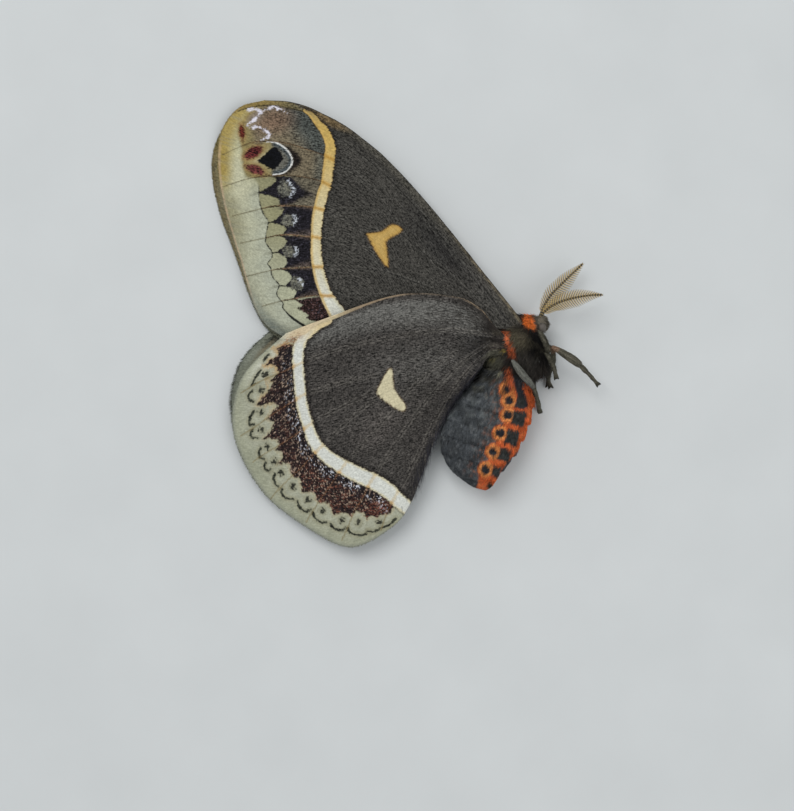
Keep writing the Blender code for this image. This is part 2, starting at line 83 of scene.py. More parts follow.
SOLID_WING = 0.5               # thickness of a wing in the solids, whose outer face is kept
FOREWING_OFFSET = 0.4
HINDWING_OFFSET = 1.25
HINDWING_FREE_OFFSET = 0.65
HINDWING_FREE_Y = (-16.0, -4.0)
DROOP_START_X = 12.0
DROOP_SLOPE = 0.087
APEX_DROOP = 0.22
APEX_DROOP_Y = (10.0, 32.0)
ROOT_SPREAD = 2.3
ROOT_SPREAD_REACH = 6.5
ROOT_LINE = ((18.0, -1.0), (9.5, -11.5))
FOREWING_LEFT_TURN = 0.020
HINDWING_LEFT_TURN = -0.031
FOREWING_LEFT_SHIFT = (-0.5, 0.0)
HINDWING_LEFT_SHIFT = (0.0, 1.6)
FOREWING_LEFT_MARGIN = ((0.15, 0.0), (0.3, 0.35), (0.5, 0.38), (0.67, -0.1), (0.77, -0.3), (0.85, -0.55),
                        (1.0, -0.5))
FOREWING_RIGHT_MARGIN = ((0.1, 0.0), (0.17, 0.22), (0.26, 0.1), (0.4, 0.22), (0.5, 0.4), (0.585, 0.42),
                         (0.66, 0.2), (0.8, 0.2), (0.92, 0.2), (1.0, 0.0))
FOREWING_COSTA = ((0.0, 0.0), (0.05, -0.3), (0.11, -0.35), (0.17, -0.42), (0.235, -0.36), (0.29, -0.2),
                  (0.35, 0.08), (0.41, 0.33), (0.465, 0.4), (0.52, 0.12), (0.6, 0.0))
FOREWING_PIVOT = (17.2, 1.4)
HINDWING_PIVOT = (15.6, -2.8)
WING_GRIDS = (("forewing_right", 265, 321), ("hindwing_right", 265, 321),
              ("forewing_left", 121, 161), ("hindwing_left", 121, 161))   # rows and columns of each
INNER_STEP = 8                 # cells of an outer face over one of the inner face
HAIR_GRID = 61                 # rows and columns of the bed that a wing's hair grows from
FRINGE_REACH = (("forewing_right", 0.22), ("hindwing_right", 0.3), ("forewing_left", 0.3),
                ("hindwing_left", 0.75))

# Wing stations: share of the way from root to margin, points from costa to inner margin

FOREWING_STATIONS = (
    (0.00, ((20.0, -0.6), (19.3, -1.7), (18.6, -2.9))),
    (0.07, ((18.0, 2.6), (17.3, 0.9), (16.7, -0.9))),
    (0.30, ((6.1, 17.2), (4.9, 10.2), (5.1, 3.9), (5.8, -1.8))),
    (0.52, ((-7.6, 30.9), (-5.2, 23.1), (-4.4, 14.8), (-5.2, 5.6), (-6.1, -2.2))),
    (0.72, ((-14.7, 35.35), (-12.2, 28.6), (-14.1, 20.6), (-15.2, 12.2), (-13.9, 4.8), (-10.6, -2.4))),
    (0.86, ((-19.2, 36.9), (-20.5, 32.3), (-21.8, 26.3), (-22.3, 20.2), (-22.0, 14.2), (-20.8, 8.1),
            (-18.8, 2.2), (-15.0, -2.6))),
    (1.00, ((-23.6, 37.2), (-27.6, 36.1), (-30.0, 33.3), (-31.3, 29.0), (-30.8, 22.6), (-28.4, 14.0),
            (-25.5, 3.9), (-23.2, -0.2), (-19.6, -2.8))),
)
HINDWING_STATIONS = (
    (0.00, ((18.2, -3.4), (17.9, -4.4), (17.6, -5.4))),
    (0.07, ((14.9, -0.6), (14.9, -2.9), (14.4, -4.9))),
    (0.14, ((12.4, 2.4), (12.0, -2.6), (12.1, -7.6))),
    (0.24, ((8.6, 4.4), (6.6, 0.2), (6.2, -4.4), (6.9, -8.8), (9.0, -11.3))),
    (0.48, ((-1.4, 4.8), (-3.4, -2.8), (-2.8, -10.2), (0.9, -15.2), (5.6, -17.2))),
    (0.76, ((-14.2, 0.6), (-17.4, -4.4), (-17.9, -10.2), (-16.4, -16.6), (-13.6, -21.4),
            (-7.6, -25.2), (-3.1, -27.0), (2.3, -26.0))),
    (1.00, ((-20.0, -1.6), (-25.0, -6.0), (-27.8, -9.9), (-29.0, -15.8), (-27.6, -21.9),
            (-23.2, -28.8), (-16.6, -33.9), (-10.8, -37.0), (-6.8, -36.6), (-1.4, -33.0), (1.2, -29.0))),
)

# Forewing markings, places in the plane of the floor

FORE_VEINS = (
    ((-30.62, 28.13), (-26.88, 29.78), (-24.12, 30.35), (-20.25, 30.07), (-17.22, 29.23), (-13.08, 27.72),
        (-9.08, 25.42), (-4.75, 21.25), (-1.42, 16.58)),
    ((-30.62, 22.75), (-26.88, 23.98), (-24.12, 24.47), (-19.98, 24.65), (-16.52, 24.27), (-13.58, 23.42),
        (-10.25, 21.25), (-6.08, 17.92), (-2.42, 14.58)),
    ((-29.05, 17.88), (-24.23, 19.1), (-21.8, 19.6), (-17.75, 19.58), (-14.75, 19.18), (-10.25, 17.42),
        (-6.42, 14.58)),
    ((-27.68, 13.37), (-23.23, 14.3), (-20.5, 14.8), (-16.05, 14.43), (-15.05, 14.37), (-9.42, 13.08),
        (-5.42, 12.25)),
    ((-26.67, 7.83), (-22.22, 8.92), (-20.5, 9.13), (-15.92, 9.48), (-15.05, 9.42), (-9.42, 9.25),
        (-3.58, 8.58), (2.25, 6.58)),
    ((-24.02, 2.88), (-20.5, 3.82), (-18.63, 4.1), (-14.47, 4.68), (-13.32, 4.6), (-7.75, 4.75),
        (-1.08, 4.58), (5.58, 3.42)),
)
FORE_LONG_VEINS = (
    ((-28.42, 36.08), (-24.08, 36.5), (-17.75, 34.58), (-11.08, 30.75), (-4.42, 25.58), (2.25, 18.58),
        (7.25, 12.58), (12.25, 5.92), (16.42, 0.92)),
    ((-2.42, 16.25), (2.25, 12.25), (7.25, 8.08), (11.92, 3.92), (16.25, 0.25)),
    ((-3.58, 8.58), (2.25, 6.58), (8.08, 3.92), (15.58, -0.42)),
    ((-1.42, 16.58), (-2.42, 14.58), (-5.42, 12.25), (-3.58, 8.58)),
)
FORE_BAND = ((-16.98, 35.48), (-15.88, 34.72), (-14.82, 33.48), (-13.58, 31.92), (-12.73, 29.8),
    (-12.85, 27.58), (-13.07, 25.65), (-13.35, 23.43), (-14.03, 21.5), (-14.58, 19.15), (-14.95, 16.92),
    (-15.05, 14.37), (-15.08, 11.92), (-14.78, 9.42), (-14.25, 7.08), (-13.28, 4.58), (-12.08, 2.42),
    (-10.58, 0.08), (-9.08, -2.08))
FORE_BAND_WIDTH = ((0.0, 0.3), (0.05, 0.9), (0.12, 1.35), (0.22, 1.7), (0.6, 1.65), (0.8, 1.9),
                   (0.93, 2.8), (1.0, 3.2))
FORE_LOBE_LINE = ((-26.25, 35.67), (-27.25, 34.42), (-27.85, 33.08), (-28.0, 31.58), (-27.85, 30.08),
    (-27.58, 28.58), (-27.5, 26.92), (-27.33, 25.58), (-26.75, 24.33), (-25.42, 23.92), (-24.67, 22.92),
    (-24.62, 21.63), (-24.53, 20.53), (-24.27, 19.43), (-23.8, 18.17), (-23.08, 17.17), (-23.08, 16.45),
    (-23.37, 15.15), (-23.45, 14.15), (-23.45, 13.43), (-22.52, 12.13), (-22.37, 11.57), (-22.52, 10.85),
    (-23.15, 9.98), (-22.58, 9.2), (-22.52, 8.27), (-22.08, 7.4), (-21.22, 6.4), (-21.65, 4.97),
    (-21.08, 4.0), (-20.55, 3.32), (-20.65, 2.67), (-20.08, 1.95), (-19.07, 0.95), (-17.48, -0.13),
    (-15.42, -1.25))
FORE_LINE_START = 0.34         # share of that line where it turns black
FORE_WEDGES = (
    ((-21.78, 24.48), (-19.25, 24.42), (-17.63, 22.82), (-15.58, 21.38), (-17.63, 20.83), (-19.08, 19.92),
        (-20.92, 19.58), (-21.22, 20.58), (-22.1, 21.13), (-24.82, 21.7), (-22.58, 22.97),
        (-21.78, 23.75)),
    ((-20.82, 19.58), (-17.75, 19.53), (-14.92, 19.2), (-15.25, 16.92), (-15.5, 14.5), (-17.75, 14.62),
        (-20.58, 14.75), (-20.0, 15.75), (-20.58, 16.25), (-22.52, 16.88), (-21.08, 18.0),
        (-20.42, 19.0)),
    ((-20.92, 14.67), (-17.75, 14.62), (-15.5, 14.45), (-15.75, 11.92), (-15.58, 9.45), (-17.75, 9.45),
        (-20.75, 9.08), (-19.88, 10.17), (-20.08, 11.0), (-21.67, 11.88), (-20.42, 12.83),
        (-19.92, 13.75), (-20.33, 14.25)),
    ((-20.83, 9.02), (-17.75, 9.32), (-15.5, 9.38), (-14.92, 7.08), (-14.17, 4.72), (-16.75, 4.45),
        (-18.92, 4.08), (-18.25, 5.28), (-18.83, 5.75), (-20.25, 6.22), (-19.42, 7.0), (-19.08, 7.67),
        (-19.83, 8.58)),
    ((-18.47, 3.92), (-14.08, 4.52), (-13.42, 2.92), (-12.75, 0.83), (-14.75, 0.33), (-15.92, 0.5),
        (-16.75, 1.0), (-16.17, 1.42), (-17.25, 1.92), (-18.17, 2.52), (-17.25, 3.08), (-17.83, 3.42)),
)
WEDGE_VEINS = (
    ((-21.58, 19.53), (-19.42, 19.65), (-17.25, 19.52), (-14.75, 19.18)),
    ((-21.08, 14.7), (-19.42, 14.75), (-17.25, 14.55), (-15.08, 14.37)),
    ((-20.92, 9.08), (-19.25, 9.18), (-17.25, 9.33), (-14.92, 9.42)),
    ((-19.25, 4.02), (-17.25, 4.35), (-15.58, 4.58), (-13.42, 4.6)),
)
LOBE_VEIN_EDGES = (
    ((-25.25, 24.32), (-24.12, 24.47), (-21.75, 24.68)),
    ((-24.23, 19.1), (-22.75, 19.42), (-20.67, 19.62)),
    ((-23.25, 14.3), (-21.92, 14.58), (-20.42, 14.78)),
    ((-22.25, 8.92), (-21.25, 9.08), (-20.25, 9.13)),
    ((-20.5, 3.82), (-19.42, 3.98), (-18.25, 4.12)),
)
WEDGE_LINKS = (
    ((-23.08, 22.33), (-24.08, 22.0), (-24.82, 21.75), (-26.08, 21.33), (-27.25, 21.08)),
    ((-21.92, 16.87), (-23.08, 16.8), (-24.42, 16.5), (-25.42, 16.25)),
    ((-21.25, 11.87), (-22.37, 11.75), (-23.75, 11.5), (-24.75, 11.25)),
    ((-19.92, 6.2), (-21.22, 6.25), (-22.58, 5.92), (-23.75, 5.58)),
)
WEDGE_SPOTS = (
    ((-20.33, 22.47), 1.1, 1.3, ((-19.75, 23.75), (-19.02, 22.92), (-18.82, 22.08), (-19.32, 21.25))),
    ((-19.92, 17.28), 1.0, 1.0, ((-18.75, 18.0), (-18.42, 17.32), (-18.75, 16.58))),
    ((-19.6, 12.1), 0.95, 1.05, ((-18.58, 12.75), (-18.25, 12.17), (-18.52, 11.42))),
    ((-18.2, 6.68), 1.1, 1.15, ((-17.83, 7.33), (-17.33, 6.5))),
)
APEX_EDGE = ((-29.08, 34.83), (-27.75, 35.48), (-26.42, 35.87), (-24.85, 36.2), (-22.62, 36.37),
    (-20.87, 36.13), (-19.27, 35.78), (-16.87, 35.25), (-15.28, 34.77), (-13.68, 34.13), (-11.75, 33.25))
FORE_GROOVE = ((9.25, 10.92), (11.92, 7.25), (13.82, 4.67), (15.25, 2.75), (16.75, 0.75))
FORE_DISCAL = ((-6.58, 14.92), (-4.08, 15.32), (-2.42, 16.42), (-0.75, 15.65), (-2.42, 14.42),
    (-3.42, 13.42), (-3.08, 9.47), (-4.58, 11.25), (-5.92, 13.58))
EYESPOT_CORE = ((-24.88, 27.1), (-22.18, 29.38), (-21.17, 28.83), (-20.58, 27.58), (-21.25, 26.33),
    (-22.47, 25.65))
EYESPOT_RING = ((-23.3, 30.28), (-21.92, 30.15), (-20.88, 29.72), (-19.87, 28.85), (-19.22, 27.85),
    (-19.05, 26.92), (-19.58, 25.82), (-20.7, 25.03), (-22.22, 24.78))
EYESPOT_FIELD = ((-26.75, 27.25), (-24.08, 29.92), (-21.92, 30.13), (-20.88, 29.72), (-19.87, 28.85),
    (-19.22, 27.85), (-19.05, 26.92), (-19.58, 25.82), (-20.7, 25.03), (-22.22, 24.78), (-24.75, 24.83))
EYESPOT_HALO = ((-23.08, 30.42), (-20.58, 29.92), (-18.58, 28.75), (-17.42, 27.03), (-18.75, 25.58),
    (-20.58, 24.67), (-22.42, 24.58))
RED_SPOTS = (
    ((-27.45, 31.93), 0.42, 1.15, -5.0, "#502018"),
    ((-25.6, 28.45), 1.75, 0.9, -28.0, "#532322"),
    ((-25.15, 25.62), 1.6, 0.72, 22.0, "#5B2E2C"),
)
APEX_ZIGZAG = (
    ((-26.25, 35.62), (-25.42, 35.67), (-24.68, 35.45), (-24.17, 35.15), (-23.42, 35.65), (-22.3, 36.05),
        (-21.02, 35.67), (-19.92, 35.05)),
    ((-24.17, 35.28), (-25.17, 34.13), (-26.28, 33.15), (-25.92, 32.65), (-24.85, 32.78), (-23.88, 32.38),
        (-22.93, 31.67), (-23.02, 31.1), (-24.22, 30.55)),
)

# Hindwing markings

HIND_VEINS = (
    ((-27.58, -11.58), (-24.08, -9.5), (-20.25, -7.92), (-18.58, -7.08), (-16.75, -6.25), (-12.75, -4.75),
        (-7.75, -3.42), (-1.08, -2.08), (7.25, -1.08), (14.75, -2.08)),
    ((-27.58, -18.75), (-24.75, -16.92), (-22.92, -15.5), (-20.42, -13.92), (-18.42, -12.67),
        (-16.75, -11.75), (-12.75, -10.42), (-8.42, -9.25), (-5.08, -8.75)),
    ((-25.58, -23.08), (-23.42, -21.58), (-21.42, -20.42), (-19.08, -18.92), (-17.25, -17.67),
        (-15.25, -16.25), (-11.08, -14.08), (-7.42, -12.25), (-4.75, -10.75)),
    ((-22.67, -29.25), (-21.08, -27.42), (-19.42, -25.75), (-17.42, -23.92), (-15.58, -21.92),
        (-14.08, -20.42), (-10.25, -16.75), (-6.42, -13.42), (-4.08, -11.58)),
    ((-16.75, -33.08), (-15.58, -31.25), (-14.42, -29.42), (-12.75, -27.08), (-11.42, -25.08),
        (-9.92, -23.08), (-6.42, -19.08), (-2.42, -14.75), (2.25, -9.42), (8.08, -4.75)),
    ((-10.75, -36.08), (-9.75, -33.92), (-8.75, -31.42), (-7.42, -29.25), (-6.42, -27.25),
        (-5.25, -25.25), (-1.92, -20.08), (3.08, -13.08), (8.92, -6.75), (13.92, -3.08)),
    ((-4.25, -34.42), (-3.58, -32.42), (-2.92, -30.75), (-1.92, -28.92), (-0.58, -26.75), (2.25, -21.08),
        (6.42, -13.08), (10.58, -7.42), (14.58, -3.58)),
)
HIND_LONG_VEINS = (
    ((-5.08, -8.75), (0.58, -5.42), (7.25, -2.92), (14.75, -2.08)),
    ((-4.08, -11.58), (-3.08, -9.42), (-5.08, -8.75)),
)
HIND_BAND = ((-13.08, 0.75), (-14.75, -0.08), (-16.17, -1.25), (-17.42, -2.53), (-18.05, -4.55),
    (-18.05, -7.25), (-17.8, -10.25), (-17.45, -13.38), (-16.58, -16.47), (-15.45, -19.62),
    (-13.5, -21.97), (-10.85, -23.75), (-7.98, -25.22), (-5.6, -26.32), (-3.32, -27.67), (-1.52, -29.32),
    (0.08, -30.67))
HIND_BAND_WIDTH = ((0.0, 1.6), (0.15, 1.85), (0.5, 1.85), (0.62, 2.2), (0.72, 2.5), (0.86, 2.6), (1.0, 2.3))
HIND_DISCAL = ((-3.08, -7.75), (-2.42, -7.75), (-2.08, -10.92), (-0.25, -13.58), (-0.67, -14.58),
    (-2.58, -13.58), (-4.75, -11.83), (-4.58, -10.58))
HIND_LOBES = (
    (None, ((-23.02, -5.18), (-23.42, -5.65), (-23.75, -6.22))),
    ((-23.48, -8.48), ((-24.32, -7.85), (-25.15, -8.98), (-25.6, -9.88), (-25.78, -10.27),
        (-25.15, -10.05))),
    ((-24.25, -11.08), ((-25.78, -11.28), (-26.3, -11.92), (-26.27, -12.58), (-25.53, -13.07))),
    ((-24.32, -14.92), ((-25.4, -14.6), (-25.92, -15.37), (-26.23, -16.38), (-25.98, -16.92),
        (-25.47, -16.83))),
    ((-24.2, -17.67), ((-25.53, -17.67), (-25.98, -18.3), (-25.78, -18.93), (-24.77, -19.08))),
    ((-23.1, -20.55), ((-24.28, -20.82), (-24.63, -21.55), (-24.28, -22.35), (-23.73, -22.63))),
    ((-22.02, -22.9), ((-23.47, -23.17), (-23.65, -23.98), (-23.02, -24.53), (-22.65, -24.25))),
    ((-20.85, -24.8), ((-21.93, -25.07), (-22.1, -25.88), (-21.75, -26.87), (-21.3, -27.15))),
    ((-18.95, -27.23), ((-20.67, -27.5), (-20.85, -28.23), (-20.12, -29.05), (-18.85, -29.32))),
    ((-16.5, -29.4), ((-18.13, -29.68), (-17.87, -30.58), (-16.87, -31.3), (-15.97, -31.03))),
    ((-14.07, -31.22), ((-15.6, -31.48), (-15.25, -32.38), (-14.33, -33.12), (-13.43, -33.2))),
    ((-10.72, -32.83), ((-12.62, -33.47), (-11.98, -34.2), (-10.9, -34.47), (-10.1, -34.1))),
    ((-8.02, -33.12), ((-9.73, -34.1), (-9.42, -34.82), (-8.08, -35.25), (-6.93, -35.18),
        (-6.38, -34.55))),
    ((-4.48, -33.12), ((-6.38, -34.65), (-5.48, -34.73), (-4.4, -34.1))),
    (None, ((-3.95, -34.02), (-2.77, -33.47), (-1.87, -32.57))),
)
FAR_MARK = ((-21.83, -2.0), (-22.58, -2.52), (-23.05, -3.25))
HIND_DARK_EDGE = ((-19.03, -3.45), (-20.57, -3.63), (-22.08, -4.47), (-21.32, -4.65), (-21.45, -5.28),
    (-22.03, -5.57), (-22.6, -6.05), (-23.55, -7.02), (-22.85, -6.8), (-21.97, -6.92), (-21.58, -7.47),
    (-21.32, -8.03), (-22.08, -8.87), (-23.12, -9.52), (-22.35, -9.72), (-22.47, -10.4), (-22.85, -10.9),
    (-23.37, -11.67), (-24.13, -12.43), (-24.9, -13.65), (-23.87, -13.58), (-23.12, -13.23),
    (-22.08, -13.12), (-21.45, -13.7), (-21.97, -14.35), (-22.6, -14.98), (-23.23, -15.88),
    (-22.35, -16.13), (-22.08, -16.63), (-22.47, -17.53), (-23.12, -18.43), (-23.87, -19.35),
    (-22.73, -19.1), (-21.57, -19.32), (-21.3, -20.1), (-21.65, -21.12), (-20.77, -21.55),
    (-20.67, -22.45), (-21.68, -23.55), (-20.58, -23.23), (-19.85, -23.28), (-19.4, -23.8),
    (-19.48, -24.62), (-18.85, -25.62), (-17.95, -25.73), (-17.58, -26.78), (-17.4, -28.08),
    (-15.97, -28.05), (-15.23, -28.42), (-15.05, -29.32), (-14.33, -29.77), (-13.07, -29.87),
    (-12.62, -30.77), (-12.17, -31.9), (-10.72, -31.58), (-9.63, -31.67), (-9.18, -32.18), (-8.37, -31.3),
    (-7.28, -31.4), (-6.57, -32.5), (-6.02, -32.03), (-5.02, -32.37), (-4.38, -31.85), (-3.3, -31.82),
    (-2.4, -31.13), (-2.13, -30.22))

# Body markings

SIDE_RINGS = ((16.72, -10.95), (17.05, -12.95), (16.82, -15.43), (15.55, -18.38), (14.38, -21.52),
    (13.18, -24.48))
BELLY_SQUARES = (
    ((19.08, -13.0), 0.8, 0.6), ((18.68, -15.88), 1.25, 1.1), ((17.58, -19.15), 1.2, 1.05),
    ((16.28, -22.02), 1.05, 0.95), ((14.95, -24.75), 0.9, 0.7),
)
BELLY_STRIPE = ((18.0, -8.42), (18.75, -9.42), (19.32, -10.83), (19.87, -12.27), (20.13, -14.17),
    (18.12, -14.17), (18.42, -12.17), (18.2, -11.08), (17.82, -9.75))
BELLY_EDGE = ((16.75, -9.75), (17.75, -9.92), (18.75, -10.75), (19.58, -10.08), (20.75, -10.75),
    (21.58, -12.42), (21.75, -14.08), (21.17, -15.75), (20.58, -18.08), (19.08, -20.42), (17.75, -22.08),
    (16.25, -23.75), (15.42, -25.42), (14.75, -27.25), (13.25, -28.08), (11.75, -27.75), (12.08, -25.75),
    (13.0, -24.33), (14.25, -21.32), (15.5, -18.2), (16.72, -15.18), (17.05, -12.65))
PHOTO_AXIS = (-1.58, -13.67)
PHOTO_DISTANCE = 322.7
TRUE_SCALE_HEIGHT = 3.6
COLLAR = ((20.25, 2.0), (20.67, 1.75), (20.97, 1.0), (21.32, 0.18), (21.58, -0.78), (21.18, -1.22),
    (20.33, -1.05), (19.58, -0.42), (19.15, 0.25), (19.55, 0.98), (19.95, 1.58))
ORANGE_STRIPS = (
    ((16.08, -1.58), (17.02, -1.65), (17.25, -2.92), (17.78, -4.25), (18.15, -5.75), (17.55, -5.58),
        (16.85, -4.42), (16.28, -2.92)),
    ((16.42, -7.58), (17.42, -7.67), (17.68, -8.92), (17.95, -10.75), (17.25, -10.75), (16.67, -9.08)),
)
PALE_SPECKS = (
    ((14.42, -6.25), 1.7, "#6A685A"), ((14.63, -6.03), 0.35, "#9A9368"), ((16.08, -4.58), 0.3, "#A08C46"),
    ((15.53, -8.48), 0.26, "#B5B096"), ((13.85, -27.13), 0.55, "#37362C"),
    ((21.67, -6.15), 0.16, "#9A9892"), ((21.22, -5.92), 0.12, "#8A8884"),
)

# Legs: points outward with a radius at each

LEGS = {
    "foreleg_right": (
        (((21.92, -1.25), 6.2, 0.46), ((22.67, -2.25), 6.9, 0.5), ((23.25, -3.5), 7.2, 0.48),
            ((23.75, -4.67), 7.1, 0.36)),
        (((24.22, -3.88), 7.0, 0.3), ((25.0, -4.28), 6.9, 0.46), ((26.25, -5.05), 6.5, 0.64),
         ((27.67, -5.97), 6.1, 0.74), ((28.58, -6.65), 5.8, 0.62), ((28.97, -6.98), 5.6, 0.42)),
        (((28.72, -6.72), 5.6, 0.36), ((29.58, -7.62), 5.3, 0.45), ((30.17, -8.22), 5.0, 0.33),
         ((30.92, -9.05), 4.7, 0.34), ((31.42, -9.62), 4.4, 0.28), ((31.92, -10.18), 4.1, 0.42)),
    ),
    "midleg_right": (
        (((23.17, -4.92), 6.6, 0.4), ((23.75, -5.58), 6.9, 0.45), ((24.17, -6.42), 6.8, 0.42)),
        (((24.08, -6.08), 6.6, 0.36), ((24.52, -7.25), 6.2, 0.4), ((24.78, -8.25), 5.7, 0.34),
            ((24.97, -9.08), 5.3, 0.44)),
    ),
    "hindleg_right": (
        (((17.62, -6.12), 9.2, 0.26), ((18.33, -7.13), 9.7, 0.54), ((19.33, -8.47), 9.9, 0.64),
         ((20.33, -9.63), 9.6, 0.54), ((21.25, -10.68), 9.0, 0.34)),
        (((21.08, -10.42), 8.9, 0.34), ((21.52, -11.47), 8.3, 0.32), ((21.78, -12.48), 7.5, 0.3),
         ((22.0, -13.42), 6.7, 0.38), ((22.12, -14.05), 6.2, 0.3), ((22.28, -14.75), 5.6, 0.46)),
    ),
    "foreleg_left": (
        (((21.58, -2.58), 3.0, 0.5), ((23.08, -3.6), 2.2, 0.5), ((24.42, -4.5), 1.7, 0.45)),
        (((24.42, -4.5), 1.6, 0.42), ((24.42, -6.42), 1.4, 0.46), ((23.75, -8.42), 1.0, 0.4),
            ((23.58, -10.42), 0.8, 0.36)),
    ),
    "midleg_left": (
        (((21.58, -5.75), 2.4, 0.45), ((22.92, -6.58), 1.4, 0.44), ((23.25, -7.92), 1.1, 0.4)),
        (((23.17, -7.75), 1.0, 0.36), ((23.52, -8.92), 1.0, 0.34), ((23.78, -9.75), 0.9, 0.28),
            ((24.0, -10.58), 0.9, 0.44)),
    ),
    "hindleg_left": (
        (((20.25, -7.58), 1.8, 0.46), ((20.92, -9.58), 0.9, 0.42), ((21.33, -11.58), 0.75, 0.36)),
        (((21.33, -11.42), 0.7, 0.34), ((21.88, -13.2), 0.7, 0.32), ((22.17, -14.5), 0.6, 0.34)),
    ),
}
KNEE = (24.42, -4.17)
LEG_TUFT = (23.42, -6.42)
ANTENNAE = {
    "antenna_right": ((21.9, 0.3, 5.3), (22.35, 1.25, 5.6), (23.1, 2.1, 5.9), (24.1, 2.85, 6.25),
                      (25.8, 3.6, 6.6), (28.0, 4.16, 6.8), (30.3, 4.52, 6.7), (32.25, 4.62, 6.4)),
    "antenna_left": ((21.8, 0.3, 3.9), (22.4, 1.7, 3.7), (23.2, 3.4, 3.5), (24.2, 4.9, 3.4),
                     (25.7, 6.4, 3.3), (27.2, 7.9, 3.4), (28.4, 9.0, 3.5), (29.3, 9.9, 3.7)),
}
LEG_STEPS = 36                 # rings along a leg's segment
LEG_SIDES = 20
SHAFT_STEPS = 6                # rings of a feeler's shaft for each row of rami
SHAFT_SIDES = 8
RAMUS_PITCH = 0.4
RAMUS_LENGTH = ((0.1, 0.7), (0.2, 1.15), (0.35, 1.65), (0.58, 1.65), (0.75, 1.15), (0.9, 0.6), (1.0, 0.2))


# Small helpers

def linear(code):
    """Linear colour from an sRGB hex value."""
    channels = np.array([int(code[k:k + 2], 16) / 255.0 for k in (1, 3, 5)])
    return np.where(channels <= 0.04045, channels / 12.92, ((channels + 0.055) / 1.055) ** 2.4)


def shader_colour(code):
    return (*linear(code), 1.0)


def fade(low, high, value):
    t = np.clip((value - low) / (high - low), 0.0, 1.0)
    return t * t * (3.0 - 2.0 * t)


def curve(points, t):
    """Places on a smooth curve through points, for an array t in 0..1 over equal spans."""
    points = np.asarray(points, float)
    padded = np.vstack([2 * points[0] - points[1], points, 2 * points[-1] - points[-2]])
    place = np.clip(np.asarray(t, float), 0.0, 1.0) * (len(points) - 1)
    i = np.minimum(place.astype(int), len(points) - 2)
    f = (place - i)[:, None]
    p0, p1, p2, p3 = padded[i], padded[i + 1], padded[i + 2], padded[i + 3]
    return 0.5 * (2 * p1 + (p2 - p0) * f + (2 * p0 - 5 * p1 + 4 * p2 - p3) * f ** 2
                  + (3 * p1 - p0 - 3 * p2 + p3) * f ** 3)


def along(points, shares):
    """Places at shares of the length of the smooth curve through points."""
    dense = curve(points, np.linspace(0, 1, 400))
    length = np.concatenate([[0.0], np.cumsum(np.linalg.norm(np.diff(dense, axis=0), axis=1))])
    goal = np.asarray(shares) * length[-1]
    return np.stack([np.interp(goal, length, dense[:, k]) for k in range(dense.shape[1])], axis=1)


def smooth_line(points, per_span=5):
    return curve(points, np.linspace(0, 1, (len(points) - 1) * per_span + 1))


def table(pairs, at):
    """Reads a short table of (place, value) pairs."""
    return np.interp(at, [p for p, _ in pairs], [v for _, v in pairs])


def hermite(places, values, at):
    """Smooth reading of values known at uneven places, along the first axis."""
    places = np.asarray(places, float)
    values = np.asarray(values, float)
    slopes = np.empty_like(values)
    slopes[1:-1] = (values[2:] - values[:-2]) / (places[2:] - places[:-2]).reshape(
        (-1,) + (1,) * (values.ndim - 1))
    slopes[0] = (values[1] - values[0]) / (places[1] - places[0])
    slopes[-1] = (values[-1] - values[-2]) / (places[-1] - places[-2])
    i = np.clip(np.searchsorted(places, at, side="right") - 1, 0, len(places) - 2)
    shape = (-1,) + (1,) * (values.ndim - 1)
    width = (places[i + 1] - places[i]).reshape(shape)
    f = (np.asarray(at) - places[i]).reshape(shape) / width
    return (values[i] * (2 * f ** 3 - 3 * f ** 2 + 1) + slopes[i] * width * (f ** 3 - 2 * f ** 2 + f)
            + values[i + 1] * (3 * f ** 2 - 2 * f ** 3) + slopes[i + 1] * width * (f ** 3 - f ** 2))


def noise(x, y, size, seed):
    """Smooth random field between -1 and 1 whose lumps are about size across."""
    lattice = np.random.RandomState(seed).uniform(-1, 1, (256, 256))
    gx, gy = x / size, y / size
    ix, iy = np.floor(gx).astype(int), np.floor(gy).astype(int)
    fx, fy = gx - ix, gy - iy
    fx, fy = fx * fx * (3 - 2 * fx), fy * fy * (3 - 2 * fy)
    a, b = lattice[ix & 255, iy & 255], lattice[(ix + 1) & 255, iy & 255]
    c, d = lattice[ix & 255, (iy + 1) & 255], lattice[(ix + 1) & 255, (iy + 1) & 255]
    return (a + (b - a) * fx) * (1 - fy) + (c + (d - c) * fx) * fy


def line_distance(x, y, line, limit=3.0):
    """Distance to a line up to a limit, share of the way along it, and side (+1 to its left)."""
    line = np.asarray(line, float)
    distance = np.full(x.shape, limit)
    share = np.zeros(x.shape)
    side = np.ones(x.shape)
    low, high = line.min(0) - limit, line.max(0) + limit
    chosen = np.nonzero((x > low[0]) & (x < high[0]) & (y > low[1]) & (y < high[1]))[0]
    px, py = x[chosen], y[chosen]
    best = np.full(px.shape, limit ** 2)
    best_share = np.zeros(px.shape)
    best_side = np.ones(px.shape)
    steps = np.diff(line, axis=0)
    lengths = np.linalg.norm(steps, axis=1)
    starts = np.concatenate([[0.0], np.cumsum(lengths)])
    for (ax, ay), (dx, dy), length, start in zip(line[:-1], steps, lengths, starts):
        t = np.clip(((px - ax) * dx + (py - ay) * dy) / max(length ** 2, 1e-12), 0, 1)
        ex, ey = px - ax - t * dx, py - ay - t * dy
        d2 = ex * ex + ey * ey
        closer = d2 < best
        best[closer] = d2[closer]
        best_share[closer] = ((start + t * length) / starts[-1])[closer]
        best_side[closer] = np.where(dx * ey - dy * ex >= 0, 1.0, -1.0)[closer]
    distance[chosen] = np.sqrt(best)
    share[chosen] = best_share
    side[chosen] = best_side
    return distance, share, side


